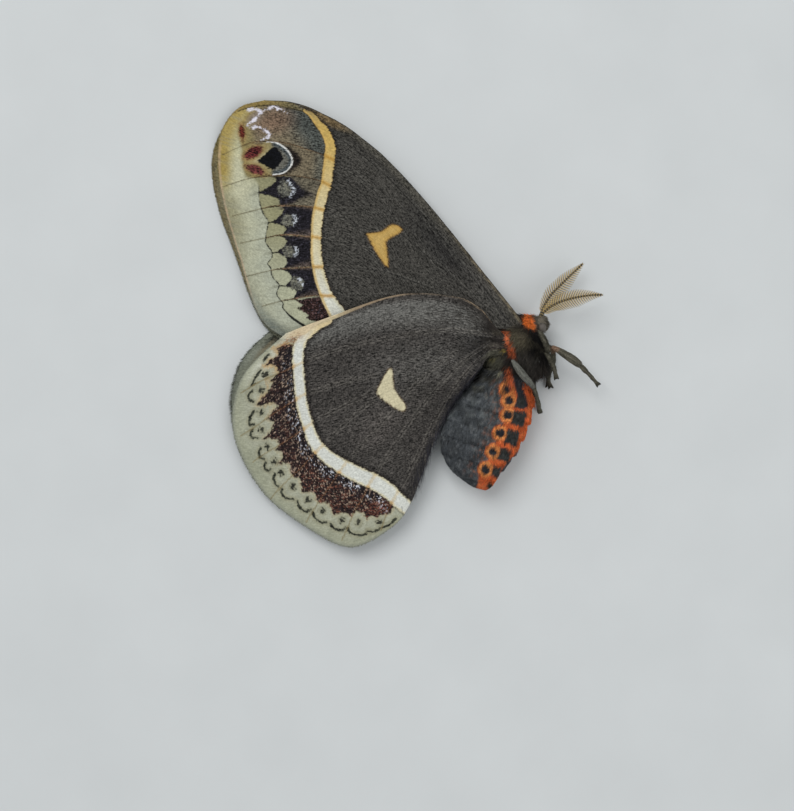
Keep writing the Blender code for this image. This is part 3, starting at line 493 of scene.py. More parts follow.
def polygon_depth(x, y, corners, limit=3.0):
    """Signed distance to a closed outline, negative inside."""
    corners = np.asarray(corners, float)
    closed = np.vstack([corners, corners[:1]])
    distance = line_distance(x, y, closed, limit)[0]
    inside = np.zeros(x.shape, bool)
    for (ax, ay), (bx, by) in zip(closed[:-1], closed[1:]):
        crosses = (ay > y) != (by > y)
        inside ^= crosses & (x < (bx - ax) * (y - ay) / (by - ay + 1e-12) + ax)
    return np.where(inside, -distance, distance)


def ellipse_depth(x, y, centre, rx, ry, turn=0.0):
    """Signed distance to an ellipse, near enough for a soft edge."""
    c, s = math.cos(math.radians(turn)), math.sin(math.radians(turn))
    dx, dy = x - centre[0], y - centre[1]
    u, v = (dx * c + dy * s) / rx, (-dx * s + dy * c) / ry
    return (np.hypot(u, v) - 1.0) * min(rx, ry)


def inside(depth, edge=0.08):
    """Mask that is one where depth is negative, with a soft edge."""
    return 1.0 - fade(-edge, edge, depth)


class Canvas:
    """Colours for a set of places, painted in layers."""

    def __init__(self, x, y, code):
        self.x, self.y = x, y
        self.rgb = np.tile(linear(code), (len(x), 1))

    def lay(self, mask, code, strength=1.0):
        self.rgb += (linear(code) - self.rgb) * np.clip(mask * strength, 0, 1)[:, None]

    def patch(self, centre, rx, ry, turn, soft, code, strength, mask=1.0, jitter=0.0):
        """A soft-edged ellipse, turned by degrees, kept to a mask."""
        depth = ellipse_depth(self.x, self.y, centre, rx, ry, turn) + jitter
        self.lay(inside(depth, soft) * mask, code, strength)

    def near(self, line, limit, per_span=5):
        """Distance to a smooth line through points, share of the way along it, and side."""
        return line_distance(self.x, self.y, smooth_line(line, per_span), limit)

    def depth(self, corners, per_span=5):
        """Signed distance to a smooth closed outline through points, negative inside."""
        return polygon_depth(self.x, self.y, smooth_line(corners + corners[:1], per_span))

    def shade(self, factor):
        self.rgb *= np.clip(factor, 0, None)[:, None]


# Wing surfaces

def wing_plan(stations, rows, columns):
    """Places of a wing's grid in the plane of the floor, rows from root to margin."""
    lines = [along(points, columns) for _, points in stations]
    return hermite([place for place, _ in stations], np.array(lines), rows)


def scaled(x, y, scale):
    """Place drawn towards the photo's axis or away from it."""
    return PHOTO_AXIS[0] + (x - PHOTO_AXIS[0]) * scale, PHOTO_AXIS[1] + (y - PHOTO_AXIS[1]) * scale


def place_under(x, y, z):
    """Plan place at height z of a point that the photo shows at x, y."""
    return scaled(x, y, (PHOTO_DISTANCE - z) / (PHOTO_DISTANCE - TRUE_SCALE_HEIGHT))


def parting_height(x, y):
    apex = APEX_DROOP * fade(*APEX_DROOP_Y, y)
    return BODY_HEIGHT - DROOP_SLOPE * np.maximum(0.0, DROOP_START_X - x) - apex


def root_spread(x, y):
    a, b = np.array(ROOT_LINE[0]), np.array(ROOT_LINE[1])
    step = b - a
    t = np.clip(((x - a[0]) * step[0] + (y - a[1]) * step[1]) / step.dot(step), 0, 1)
    distance = np.hypot(x - a[0] - t * step[0], y - a[1] - t * step[1])
    return ROOT_SPREAD * np.exp(-(distance / ROOT_SPREAD_REACH) ** 2)


def uneven(count, dense_from, dense_share):
    """Row places in 0..1 with the given share of them past dense_from."""
    first = int(round(count * (1 - dense_share)))
    start = np.linspace(0.02, dense_from, first, endpoint=False)
    return np.concatenate([start, np.linspace(dense_from, 1.0, count - first)])


class Wing:
    """One wing's grid: plan places before and after its turn, and its outer and inner faces."""

    def __init__(self, name, rows, columns):
        self.hind = name.startswith("hind")
        self.side = 1.0 if name.endswith("right") else -1.0
        stations = HINDWING_STATIONS if self.hind else FOREWING_STATIONS
        self.u = uneven(rows, 0.62, 0.6)
        self.v = np.linspace(0, 1, columns)
        plan = wing_plan(stations, self.u, self.v)
        if not self.hind:
            swell = table(FOREWING_COSTA, self.u)[:, None] * np.maximum(0, 1 - self.v / 0.3)[None, :]
            plan += swell[..., None] * np.array([0.73, 0.68])
            if self.side > 0:
                plan[..., 0] -= np.outer(fade(0.8, 1.0, self.u), table(FOREWING_RIGHT_MARGIN, self.v))
        self.local = plan.copy()
        if self.side < 0:
            pivot = np.array(HINDWING_PIVOT if self.hind else FOREWING_PIVOT)
            turn = HINDWING_LEFT_TURN if self.hind else FOREWING_LEFT_TURN
            shift = HINDWING_LEFT_SHIFT if self.hind else FOREWING_LEFT_SHIFT
            c, s = math.cos(turn), math.sin(turn)
            plan = (plan - pivot) @ np.array([[c, s], [-s, c]]) + pivot + np.array(shift)
            if not self.hind:
                plan[..., 0] -= np.outer(fade(0.8, 1.0, self.u), table(FOREWING_LEFT_MARGIN, self.v))
        self.x, self.y = plan[..., 0], plan[..., 1]
        if self.side > 0:
            level = self.heights(0.0, 0.0)[0]
            self.x, self.y = place_under(self.x, self.y, level)
        gaps = np.linalg.norm(np.diff(self.local, axis=1), axis=2)
        self.across = np.concatenate([np.zeros((rows, 1)), np.cumsum(gaps, axis=1)], axis=1)
        gaps = np.linalg.norm(np.diff(self.local, axis=0), axis=2)
        self.along = np.concatenate([np.zeros((1, columns)), np.cumsum(gaps, axis=0)], axis=0)

    def heights(self, relief, thickness):
        """Outer and inner face heights: the outer one keeps the solids' outer face."""
        offset = FOREWING_OFFSET
        if self.hind:
            offset = HINDWING_FREE_OFFSET + (HINDWING_OFFSET - HINDWING_FREE_OFFSET) * fade(
                *HINDWING_FREE_Y, self.y)
        middle = parting_height(self.x, self.y) + self.side * (offset + root_spread(self.x, self.y))
        outer = middle + self.side * (SOLID_WING / 2 + relief)
        if self.side < 0:
            outer = np.maximum(outer, 0.02)
        return outer, outer - self.side * thickness


def vein_relief(x, y, veins, long_veins):
    """Height of the veins over the membrane, with the soft pleat beside each."""
    relief = np.zeros(x.shape)
    for line in veins + long_veins:
        distance = line_distance(x, y, smooth_line(line), 1.6)[0]
        relief = np.maximum(relief, 0.11 * np.exp(-(distance / 0.13) ** 2)
                            + 0.07 * np.exp(-(distance / 0.7) ** 2))
    return relief


def sheet_mesh(name, outer, inner, step):
    """Closed thin sheet: a fine outer face, an inner face in coarser cells, and the rim."""
    rows, columns = outer.shape[:2]
    index = np.arange(rows * columns).reshape(rows, columns)
    keep = np.zeros((rows, columns), bool)
    keep[::step, ::step] = True
    keep[0], keep[-1], keep[:, 0], keep[:, -1] = True, True, True, True
    inner_index = np.full((rows, columns), -1)
    inner_index[keep] = rows * columns + np.arange(keep.sum())
    vertices = np.vstack([outer.reshape(-1, 3), inner[keep]])
    faces = grid_faces(rows, columns)
    for r in range(0, rows - 1, step):
        for c in range(0, columns - 1, step):
            r1, c1 = r + step, c + step
            top = range(c, c1) if r == 0 else (c,)
            right = range(r, r1) if c1 == columns - 1 else (r,)
            bottom = range(c1, c, -1) if r1 == rows - 1 else (c1,)
            left = range(r1, r, -1) if c == 0 else (r1,)
            ring = ([(r, k) for k in top] + [(k, c1) for k in right]
                    + [(r1, k) for k in bottom] + [(k, c) for k in left])
            faces.append([int(inner_index[place]) for place in reversed(ring)])
    border = ([(0, c) for c in range(columns)] + [(r, columns - 1) for r in range(1, rows)]
              + [(rows - 1, c) for c in range(columns - 2, -1, -1)]
              + [(r, 0) for r in range(rows - 2, 0, -1)])
    for a, b in zip(border, border[1:] + border[:1]):
        faces.append([int(index[b]), int(index[a]), int(inner_index[a]), int(inner_index[b])])
    mesh = bpy.data.meshes.new(name)
    mesh.from_pydata(vertices.tolist(), [], faces)
    mesh.update()
    return mesh, keep


# Wing colours

def paint_ground(canvas, across, u, seed):
    """Fine scales in strands that run from root to margin, with a little cloud and grain."""
    x, y = canvas.x, canvas.y
    strands = noise(across, u * 22.0, 0.2, seed) * 0.55 + noise(across, u * 9.0, 0.5, seed + 1) * 0.45
    broad = noise(across, u * 5.0, 1.6, seed + 2)
    grain = noise(x, y, 0.22, seed + 3)
    calm = fade(0.08, 0.3, canvas.rgb.mean(axis=1))
    cloud = 0.16 * strands + 0.12 * broad + 0.1 * noise(x, y, 4.0, seed + 4)
    canvas.shade(1.0 + cloud * (1 - 0.75 * calm) + 0.2 * grain * (1 - 0.65 * calm))


def paint_forewing(x, y, u, v, across):
    canvas = Canvas(x, y, "#3D3B37")
    lay = canvas.lay
    rough = noise(x, y, 0.3, 21) * 0.09 + noise(x, y, 0.9, 22) * 0.05
    fine = noise(x, y, 0.2, 23)
    lay((1 - fade(0.5, 2.6, across)) * (1 - fade(0.75, 0.95, u)), "#504D45", 0.85)
    lay(fade(0.9, 0.3, across) * fade(0.34, 0.16, u), "#7A6F58", 0.8)
    canvas.patch((6.42, 12.25), 7.0, 2.2, -48, 2.0, "#2C2B2A", 0.7)
    canvas.patch((13.08, 5.25), 4.5, 1.3, -48, 1.2, "#4A4844", 0.6)
    distance, share, _ = canvas.near(FORE_GROOVE, 1.5)
    lay(fade(0.3, 0.08, distance) * fade(0.1, 0.7, share), "#141313", 0.85)

    band_distance, band_share, band_side = canvas.near(FORE_BAND, 60.0)
    half = table(FORE_BAND_WIDTH, band_share) / 2
    signed = -band_distance * band_side
    past = signed - half
    beyond = (signed > 0) * 1.0
    veins = [canvas.near(line, 60.0) for line in FORE_VEINS]
    above_first, above_second = veins[0][2] > 0, veins[1][2] > 0
    lobe_distance, lobe_share, lobe_side = canvas.near(FORE_LOBE_LINE, 60.0, 3)
    soft = 0.05 + 0.4 * fade(0.36, 0.3, lobe_share)
    pale = fade(soft, -soft, lobe_distance * lobe_side) * beyond

    # Field past the band: khaki lobes, then the dusky apex
    lay(beyond, "#8B8869")
    lay(beyond * fade(18.0, 6.0, y), "#A4A58C")
    apex = above_second * beyond
    lay(apex, "#6E6451")
    lay(apex * (1 - fade(1.2, 3.4, lobe_distance)), "#85794F", 0.9)
    lay(apex * above_first * fade(6.2, 1.6, past), "#474A46")
    lay(apex * ~above_first * fade(2.6, 0.4, past), "#53544C", 0.85)
    canvas.patch((-22.42, 33.75), 3.1, 1.9, 8, 1.5, "#75604F", 0.9, apex)
    canvas.patch((-25.25, 34.42), 1.5, 0.9, 40, 0.7, "#81756B", 0.8, apex)
    under = (beyond > 0) & ~above_second & (y > 19.0)
    lay(under * fade(6.5, 5.0, past), "#605A4C")

    canvas.patch((-13.42, 34.0), 3.6, 0.7, -26, 0.5, "#75603E", 0.7, 1 - beyond)

    # Pale outer field, greener and greyer towards the inner margin, with a painted highlight, painted fold
    # shade and a painted shadow near the tornus
    low = fade(22.0, 6.0, y)
    lay(pale, "#A6A894")
    lay(pale * fade(0.6, 2.6, lobe_distance), "#AFAF96")
    lay(pale * fade(2.2, 4.8, lobe_distance), "#949073")
    lay(pale * fade(4.4, 6.4, lobe_distance), "#7E7859")
    lay(pale * low * 0.35, "#A0A496")
    upper = fade(21.0, 26.0, y)
    lay(pale * upper, "#B2AF8C")
    lay(pale * upper * fade(1.6, 3.8, lobe_distance), "#9C8E58")
    # Painted highlight: a lighter ellipse on the upper pale field
    canvas.patch((-27.92, 24.58), 1.5, 3.6, 4, 1.2, "#BDBB9F", 0.85, pale)
    lay(pale * fade(31.5, 34.5, y) * fade(0.6, 2.2, lobe_distance), "#A08C5C", 0.8)
    lay(fade(0.95, 0.985, u) * beyond * upper, "#9E8846", 0.85)
    lay(fade(0.991, 0.9945, u) * fade(32.0, 28.0, y) * beyond, "#B39A80", 0.6)
    lay(fade(0.997, 0.9995, u) * beyond, "#6F6548", 0.7)
    # Painted shadow: a grey-green darkening of the pale field near the tornus
    canvas.patch((-22.08, -1.42), 5.6, 1.7, -38, 1.2, "#5E6560", 0.85, pale)
    canvas.patch((-24.92, 2.92), 3.6, 0.8, -58, 0.7, "#7D8277", 0.7, pale)
    # Painted shade in the soft folds of the pale field: faint darker streaks, and grey lines from the wedge
    # tips outwards
    fold_shade = noise(v * 160.0, u * 6.0, 1.0, 24)
    lay(pale * fade(0.1, 0.9, fold_shade), "#8D8C79", 0.35)
    for line in WEDGE_LINKS:
        distance, share, _ = canvas.near(line, 1.5)
        lay(fade(0.4, 0.05, distance) * fade(1.0, 0.3, share) * pale, "#70705F", 0.6)

    # Costal edge past the band
    distance, share, side = canvas.near(APEX_EDGE, 1.8)
    above = (side > 0) * (distance < 1.7) * beyond
    lay(above, "#625A40", 0.9)
    lay(above * fade(0.62, 0.2, share), "#8E7A48", 0.9)
    lay(fade(0.14, 0.05, distance) * fade(0.0, 0.08, share) * beyond, "#3B3424", 0.8)
    lay(fade(0.24, 0.06, across) * fade(0.4, 0.6, u) * fade(0.97, 0.93, u), "#3B3424", 0.7)

    # Dark wedges pointing to the margin, their veins and grey spots
    dark = np.zeros(x.shape)
    for number, corners in enumerate(FORE_WEDGES):
        depth = polygon_depth(x, y, np.array(corners)) + rough * 0.7 + fine * 0.1
        mask = inside(depth, 0.08 + 0.4 * fade(-19.5, -17.2, x) * (number == 0)) * beyond
        dark = np.maximum(dark, mask)
        lay(mask, "#1B191E" if number < 4 else "#241715")
    lay(dark * fade(2.4, 0.6, past) * fade(20.4, 21.4, y), "#4C4641", 0.75)
    lay(dark * fade(0.45, 0.8, noise(x, y, 0.22, 31)), "#4E4C57", 0.4)
    for line in LOBE_VEIN_EDGES:
        distance, share, _ = canvas.near(line, 1.0)
        edge = 0.04 + 0.12 * share
        lay(fade(edge + 0.07, edge - 0.03, distance + fine * 0.06) * beyond, "#1D1B19", 0.9)
    for line in WEDGE_VEINS:
        distance, share, side = canvas.near(line, 4.0)
        reach = 0.2 + np.where(side > 0, 2.0, 0.8) * share
        haze = fade(reach, reach * 0.1, distance + np.abs(fine) * 0.25)
        lay(haze * dark, "#554A43", 0.75)
        lay(fade(0.15, 0.06, distance) * dark, "#84694E", 0.8)
    for line in WEDGE_LINKS:
        distance = canvas.near(line, 1.0)[0]
        lay(fade(0.16, 0.06, distance) * (lobe_side > 0) * beyond, "#1D1B19", 0.95)
    for centre, rx, ry, bright in WEDGE_SPOTS:
        depth = ellipse_depth(x, y, centre, rx, ry)
        speck = noise(x, y, 0.24, 32)
        spot = inside(depth + rough + speck * 0.35, 0.16) * beyond
        lay(spot, "#5E5E56", 0.9)
        lay(spot * fade(0.0, 0.5, fine), "#7E7C6C", 0.75)
        lay(spot * fade(0.1, 0.6, noise(x, y, 0.2, 33)), "#2A292C", 0.75)
        distance = canvas.near(bright, 1.5)[0]
        lay(fade(0.6, 0.22, distance + np.abs(speck) * 0.95), "#C2C7CE", 0.9)
    sparks = fade(0.3, 0.65, noise(x, y * 1.6, 0.2, 25)) * (y < 4.6)
    lay(sparks * dark, "#6E5452", 0.6)

    # Eyespot with its pale half ring, and the red spots
    lay(inside(canvas.depth(EYESPOT_HALO), 0.45), "#1E1816")
    field = canvas.depth(EYESPOT_FIELD)
    lay(inside(field, 0.3), "#93875F", 0.95)
    canvas.patch((-24.25, 27.58), 1.7, 0.5, 38, 0.4, "#A79C79", 0.8)
    ring = canvas.near(EYESPOT_RING, 4.0)[0]
    right_half = fade(-22.9, -21.9, x) * inside(field, 0.1)
    lay(right_half, "#5E5D55")
    lay(right_half * fade(0.95, 0.3, ring), "#3C4448", 0.9)
    core = canvas.depth(EYESPOT_CORE, 3)
    lay(inside(core + rough * 0.8 + fine * 0.12, 0.07), "#08090D")
    lay(fade(0.2, 0.07, ring + np.abs(fine) * 0.1), "#DCDCD8")
    for centre, rx, ry, turn, code in RED_SPOTS:
        depth = ellipse_depth(x, y, centre, rx, ry, -turn) + rough + fine * 0.12
        lay(inside(depth - 0.3, 0.3), "#8C7448", 0.7)
        lay(inside(depth, 0.18), code)
    for line in APEX_ZIGZAG:
        distance = canvas.near(line, 2.0)[0]
        lump = np.maximum(fade(-0.1, 0.6, noise(x, y, 0.9, 26)),
                          inside(ellipse_depth(x, y, (-23.17, 31.5), 1.1, 0.7, -50), 0.4))
        lump = 0.18 + 0.22 * lump
        lay(fade(lump + 0.16, lump - 0.1, distance + np.abs(fine) * 0.5), "#D8D5DF", 0.95)

    # Line before the lobes, veins with a painted highlight beside each, band and cell mark
    run = fade(FORE_LINE_START - 0.01, FORE_LINE_START + 0.01, lobe_share)
    thick = 0.05 + 0.11 * fade(0.86, 0.92, lobe_share)
    broken = 1.0 - 0.6 * fade(0.2, 0.8, noise(x, y, 0.5, 27)) * fade(0.9, 0.6, lobe_share)
    stipple = fade(-0.1, -0.5, noise(x, y, 0.24, 34)) * fade(0.9, 0.7, lobe_share)
    line = fade(thick + 0.1, thick - 0.01, lobe_distance + rough * 0.3) * run
    lay(line * broken * (1 - 0.6 * stipple), "#1E1E1C")
    for distance, _, _ in veins:
        on_field = fade(0.13, 0.04, distance) * beyond * (1 - dark)
        lay(on_field * pale, "#5C5238", 0.7)
        lay(on_field * (1 - pale), "#543E28", 0.8)
        lay(fade(0.12, 0.03, distance) * (1 - beyond), "#242221", 0.5)
        # Painted highlight on the pleat beside the vein
        lay(fade(0.2, 0.1, np.abs(distance - 0.24)) * (1 - beyond), "#4F4D48", 0.35)
    for line in FORE_LONG_VEINS:
        distance = canvas.near(line, 1.5)[0]
        lay(fade(0.14, 0.03, distance) * (1 - beyond), "#222120", 0.5)
        # Painted highlight on the pleat beside the vein
        lay(fade(0.22, 0.12, np.abs(distance - 0.26)) * (1 - beyond), "#504E49", 0.35)
    paint_ground(canvas, across, u, 11)
    hair = noise(y, x * 0.3, 0.17, 28) * 0.15 + rough * 0.4
    mask = inside(band_distance - half + np.where(signed > 0, rough * 0.5, hair), 0.1)
    lay(fade(0.75, 0.1, -signed - half + hair * 2.0) * (signed < 0), "#1C1918", 0.7)
    lay(inside(band_distance - half - 0.14 + hair, 0.1), "#453522", 0.75)
    lay(mask, "#C0A25C")
    lay(mask * fade(0.14, 0.55, band_share), "#CBC09B")
    lay(mask * fade(0.6, 0.95, band_share), "#C9C8B4")
    lay(mask * fade(0.5, 0.9, band_share) * fade(0.2, 0.6, half - band_distance), "#CBCCC4", 0.7)
    lay(mask * fade(0.12, 0.0, band_share), "#8F7F5A", 0.8)
    lay(mask * fade(0.5, 0.1, half - band_distance) * (signed > 0), "#C2A05A", 0.7)
    for distance, _, _ in veins:
        lay(mask * fade(0.6, 0.1, distance + np.abs(rough)), "#BC9244", 0.75)
        lay(mask * fade(0.15, 0.05, distance + rough * 0.5), "#8C6428", 0.4)
    mark = canvas.depth(FORE_DISCAL, 3) + rough * 0.7
    lay(inside(mark - 0.2, 0.12), "#5E4526", 0.8)
    lay(inside(mark, 0.1), "#B4914E")
    lay(inside(mark + 0.4, 0.4), "#BC9E60", 0.7)
    lay(fade(0.16, 0.05, across), "#25221E", 0.85)
    canvas.shade(1.0 + 0.1 * noise(x, y, 0.2, 29) + 0.04 * noise(x, y, 1.2, 30))
    return canvas.rgb


def paint_hindwing(x, y, u, v, across):
    canvas = Canvas(x, y, "#3E3B38")
    lay = canvas.lay
    rough = noise(x, y, 0.3, 51) * 0.1 + noise(x, y, 0.9, 52) * 0.06
    fine = noise(x, y, 0.2, 53)
    band_distance, band_share, band_side = canvas.near(HIND_BAND, 60.0)
    half = table(HIND_BAND_WIDTH, band_share) / 2
    signed = -band_distance * band_side
    past = signed - half
    beyond = (signed > 0) * 1.0
    veins = [canvas.near(line, 3.2) for line in HIND_VEINS]
    # Painted sheen: a soft lighter patch on the dark ground
    canvas.patch((3.08, -6.42), 8.0, 3.0, 12, 3.0, "#5D5B57", 0.5)
    # Painted highlight: a lighter band along the raised costal region
    top = fade(0.6, 2.0, across) * fade(7.5, 3.0, across) * fade(0.08, 0.2, u)
    lay(top, "#64635F", 0.8)
    canvas.patch((-4.75, -17.42), 4.0, 2.0, 40, 2.0, "#56514D", 0.5)
    canvas.patch((12.75, -3.92), 3.4, 2.4, 10, 1.6, "#262525", 0.85)
    for distance, _, _ in veins:
        lay(fade(0.12, 0.03, distance) * (1 - beyond), "#262423", 0.45)
        # Painted highlight on the pleat beside the vein
        lay(fade(0.2, 0.1, np.abs(distance - 0.24)) * (1 - beyond), "#625E58", 0.4)
    for line in HIND_LONG_VEINS:
        distance = canvas.near(line, 1.0)[0]
        lay(fade(0.14, 0.03, distance) * (1 - beyond), "#262423", 0.5)
    paint_ground(canvas, across, u, 41)

    # Outer field with painted shade in its folds, and the red-brown band with its ragged edge
    lay(beyond, "#A3A491")
    canvas.patch((-24.08, -6.25), 4.6, 1.5, 44, 1.2, "#C4C5B5", 0.85, beyond)
    canvas.patch((-25.75, -24.08), 3.4, 1.6, -60, 1.2, "#8C8F7C", 0.7, beyond)
    canvas.patch((-20.42, -31.25), 3.4, 1.4, -45, 1.0, "#8F9280", 0.6, beyond)
    lay(beyond * fade(0.93, 0.995, u), "#979983", 0.7)
    lay(beyond * fade(0.985, 1.0, u), "#7E8175", 0.7)
    # Painted shade in the soft folds of the outer field
    fold_shade = noise(v * 150.0, u * 6.0, 1.0, 54)
    lay(beyond * fade(0.1, 0.9, fold_shade), "#858774", 0.4)
    edge = np.array(HIND_DARK_EDGE + HIND_BAND[3:][::-1])
    ragged = polygon_depth(x, y, edge) + noise(x, y, 0.3, 55) * 0.2 + rough
    warm = inside(ragged - 0.3, 0.35) * beyond
    lay(warm, "#A39470", 0.5)
    tan = inside(ragged - 0.5 + fine * 0.4, 0.5) * fade(-0.5, 0.3, noise(x, y, 0.8, 66))
    lay(tan * beyond * fade(-18.0, -8.0, y), "#B8925C", 0.6)
    dark = inside(ragged, 0.1) * beyond
    lay(dark, "#231B1C")
    rust = noise(across, past * 0.45, 0.16, 56) + 0.6 * noise(x, y, 0.19, 57)
    rusty = fade(0.7, 2.4, past) * (0.3 + 0.7 * fade(-16.0, -26.0, y - x * 0.15))
    lay(dark * fade(-0.1, 0.7, rust) * rusty, "#50332A", 0.8)
    lay(dark * fade(0.55, 1.05, rust) * rusty, "#855442", 0.75)
    lay(dark * fade(1.9, 0.4, past + noise(x, y, 0.8, 64) * 0.6), "#1C191D", 0.7)
    speck = noise(x, y, 0.17, 60)
    lay(dark * fade(0.46, 0.72, speck), "#AE9884", 0.75)
    cold = fade(0.35, 0.6, noise(x, y, 0.18, 58)) * fade(-0.3, 0.2, noise(x, y, 0.9, 59))
    frost = fade(2.2, 0.9, past) * fade(0.1, 0.5, past) * fade(-4.0, -12.0, y)
    lay(dark * cold * frost, "#D5D8E0", 0.9)
    rusty = inside(ellipse_depth(x, y, (-4.58, -30.75), 2.2, 1.1, 20), 0.8)
    lay(dark * rusty * fade(-0.3, 0.4, rust), "#7A4636", 0.7)

    # Lobes between the band and the margin, each with a black star and an outer bow
    for centre, bow in HIND_LOBES:
        bow_distance = canvas.near(bow, 3.0)[0]
        body = np.hypot(x - centre[0], y - centre[1]) if centre else np.full(x.shape, 9.0)
        near = fade(1.2, 0.5, np.minimum(body, bow_distance + 0.3)) * beyond * (1 - dark)
        lay(near, "#8C8970", 0.6)
        star = body + 0.36 * noise(x, y, 0.26, 65)
        lay(fade(0.56, 0.36, star) * beyond * (1 - dark), "#1B1D1A", 0.92)
        lay(fade(0.27, 0.13, bow_distance + rough * 0.8 + fine * 0.08) * beyond, "#1B201B", 0.92)

    # Veins, pale band, costal edge and cell mark
    for distance, _, _ in veins:
        lay(fade(0.15, 0.05, distance) * dark, "#8C6344", 0.38)
        lay(fade(0.16, 0.05, distance) * beyond * (1 - dark), "#7A6C48", 0.7)
    hair = noise(across, past, 0.2, 61) * 0.16 + rough * 0.5
    lay(fade(1.1, 0.1, -signed - half + hair * 2.5) * (signed < 0), "#191616", 0.8)
    lay(inside(band_distance - half - 0.2 + hair, 0.14), "#33291F", 0.7)
    mask = inside(band_distance - half + hair, 0.12)
    lay(mask, "#CCC5A8")
    lay(mask * fade(0.05, 0.45, half - band_distance + rough), "#CBCDC6", 0.95)
    lay(mask * fade(0.19, 0.03, band_share), "#CDB88A", 0.9)
    for distance, _, _ in veins:
        lay(mask * fade(0.4, 0.1, distance + rough), "#C3AC7E", 0.5)
        lay(mask * fade(0.6, 0.1, distance) * fade(-0.7, 0.1, past), "#C08F45", 0.75)
    near_band = fade(3.0, 0.6, past)
    strip = beyond * fade(1.75 + near_band, 1.35 + near_band, across + rough)
    lay(strip, "#C1C0AC")
    lay(strip * fade(2.6, 0.4, past), "#CDB793", 0.8)
    smear = inside(ellipse_depth(x, y, (-19.5, -2.83), 2.1, 0.75, 28), 0.5) * fade(-0.2, 0.4, rust)
    lay(smear, "#8A5C40", 0.8)
    edge_width = 0.2 + 0.75 * fade(0.5, 0.74, u)
    costal = fade(edge_width + 0.2, edge_width - 0.08, across) * (1 - beyond)
    costal = costal * fade(0.06, 0.12, u)
    lay(costal * (1 - 0.75 * fade(0.16, 0.24, u) * fade(0.5, 0.4, u)), "#95826A", 0.85)
    lay(costal * fade(0.6, 0.72, u), "#C1B38F", 0.8)
    mark = canvas.depth(HIND_DISCAL, 3) + rough * 0.6
    lay(inside(mark - 0.18, 0.12), "#54432F", 0.8)
    lay(inside(mark, 0.1), "#C8BF9F")
    canvas.shade(1.0 + 0.1 * noise(x, y, 0.2, 62) * (1 - 0.6 * beyond) + 0.04 * noise(x, y, 1.3, 63))
    return canvas.rgb


def dull_and_shaded_far_side(rgb, hind):
    """Colours of the left wings, which show as a duller rim beyond the right ones: their own duller colour,
    darkened further by painted shade.
    """
    if hind:
        return rgb * 0.42 + linear("#6C7266") * 0.42
    return rgb * 0.6 + linear("#6B653A") * 0.24


def build_wing(name, rows, columns, thickness):
    wing = Wing(name, rows, columns)
    flat_x, flat_y = wing.local[..., 0].ravel(), wing.local[..., 1].ravel()
    veins = (HIND_VEINS, HIND_LONG_VEINS) if wing.hind else (FORE_VEINS, FORE_LONG_VEINS)
    relief = vein_relief(flat_x, flat_y, *veins).reshape(wing.x.shape)
    relief += 0.03 * noise(wing.local[..., 0], wing.local[..., 1], 2.4, 71)
    rim = fade(0.0, 0.4, np.minimum(wing.across, wing.across[:, -1:] - wing.across))
    outer_z, inner_z = wing.heights(relief * rim, thickness)
    outer = np.stack([wing.x, wing.y, outer_z], axis=-1)
    inner = np.stack([wing.x, wing.y, inner_z], axis=-1)
    if wing.side < 0:
        outer, inner = outer[:, ::-1], inner[:, ::-1]
    mesh, keep = sheet_mesh("wing_" + name, outer, inner, INNER_STEP)
    u = np.broadcast_to(wing.u[:, None], wing.x.shape).ravel()
    v = np.broadcast_to(wing.v[None, :], wing.x.shape).ravel()
    paint = paint_hindwing if wing.hind else paint_forewing
    rgb = paint(flat_x, flat_y, u, v, wing.across.ravel())
    root = (fade(0.11, 0.07, u) if wing.hind else fade(0.05, 0.02, u))[:, None]
    rgb = (rgb * (1 - root) + paint_body(flat_x, flat_y, np.zeros(flat_x.shape)) * root)
    # Left wings: their own duller colour with painted shade
    if wing.side < 0:
        rgb = dull_and_shaded_far_side(rgb, wing.hind)
    if name == "hindwing_left":
        seen = as_seen(wing.x.ravel(), wing.y.ravel(), outer_z.ravel())
        distance = line_distance(*seen, smooth_line(FAR_MARK))[0]
        rgb += (linear("#1B201B") - rgb) * fade(0.42, 0.2, distance)[:, None]
    strength = 1.0 - 0.82 * fade(0.05, 0.2, rgb.mean(axis=1)).reshape(rows, columns)
    rgb = rgb.reshape(rows, columns, 3)
    places = np.stack([wing.along, wing.across, strength], axis=-1)
    if wing.side < 0:
        rgb, places = rgb[:, ::-1], places[:, ::-1]
    colours = np.vstack([rgb.reshape(-1, 3), rgb[keep]])
    lengths = np.vstack([places.reshape(-1, 3), places[keep]])
    set_attribute(mesh, "pattern", with_last(colours, 1.0))
    set_attribute(mesh, "lengths", lengths)
    finish_mesh(mesh, "wing_" + name, wing_material(), "wing", name)


# Mesh helpers

def set_attribute(mesh, name, values, domain="POINT"):
    """Stores a number, a place on the skin, a vector or a colour for each row of values."""
    values = np.asarray(values, dtype=np.float32)
    width = values.shape[1] if values.ndim == 2 else 1
    kind, field = {1: ("FLOAT", "value"), 2: ("FLOAT2", "vector"), 3: ("FLOAT_VECTOR", "vector"),
                   4: ("FLOAT_COLOR", "color")}[width]
    mesh.attributes.new(name, kind, domain).data.foreach_set(field, values.ravel())


def read_all(rows, field, width):
    """One row of numbers for each row of a mesh's data."""
    values = np.empty(len(rows) * width, np.float32)
    rows.foreach_get(field, values)
    return values.reshape(-1, width)


def with_last(values, last):
    """Rows of values with one more column."""
    return np.hstack([values, np.full((len(values), 1), last)])


def finish_mesh(mesh, name, material, slot, *nodes):
    """A finished piece: in metres at the origin, smooth, riding on the body and in place of nodes."""
    mesh.transform(Matrix.Scale(MM, 4))
    mesh.update()
    mesh.shade_smooth()
    mesh.materials.clear()
    mesh.materials.append(material)
    obj = new_object(name, mesh)
    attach(obj, "root")
    for node in nodes:
        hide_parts(node)


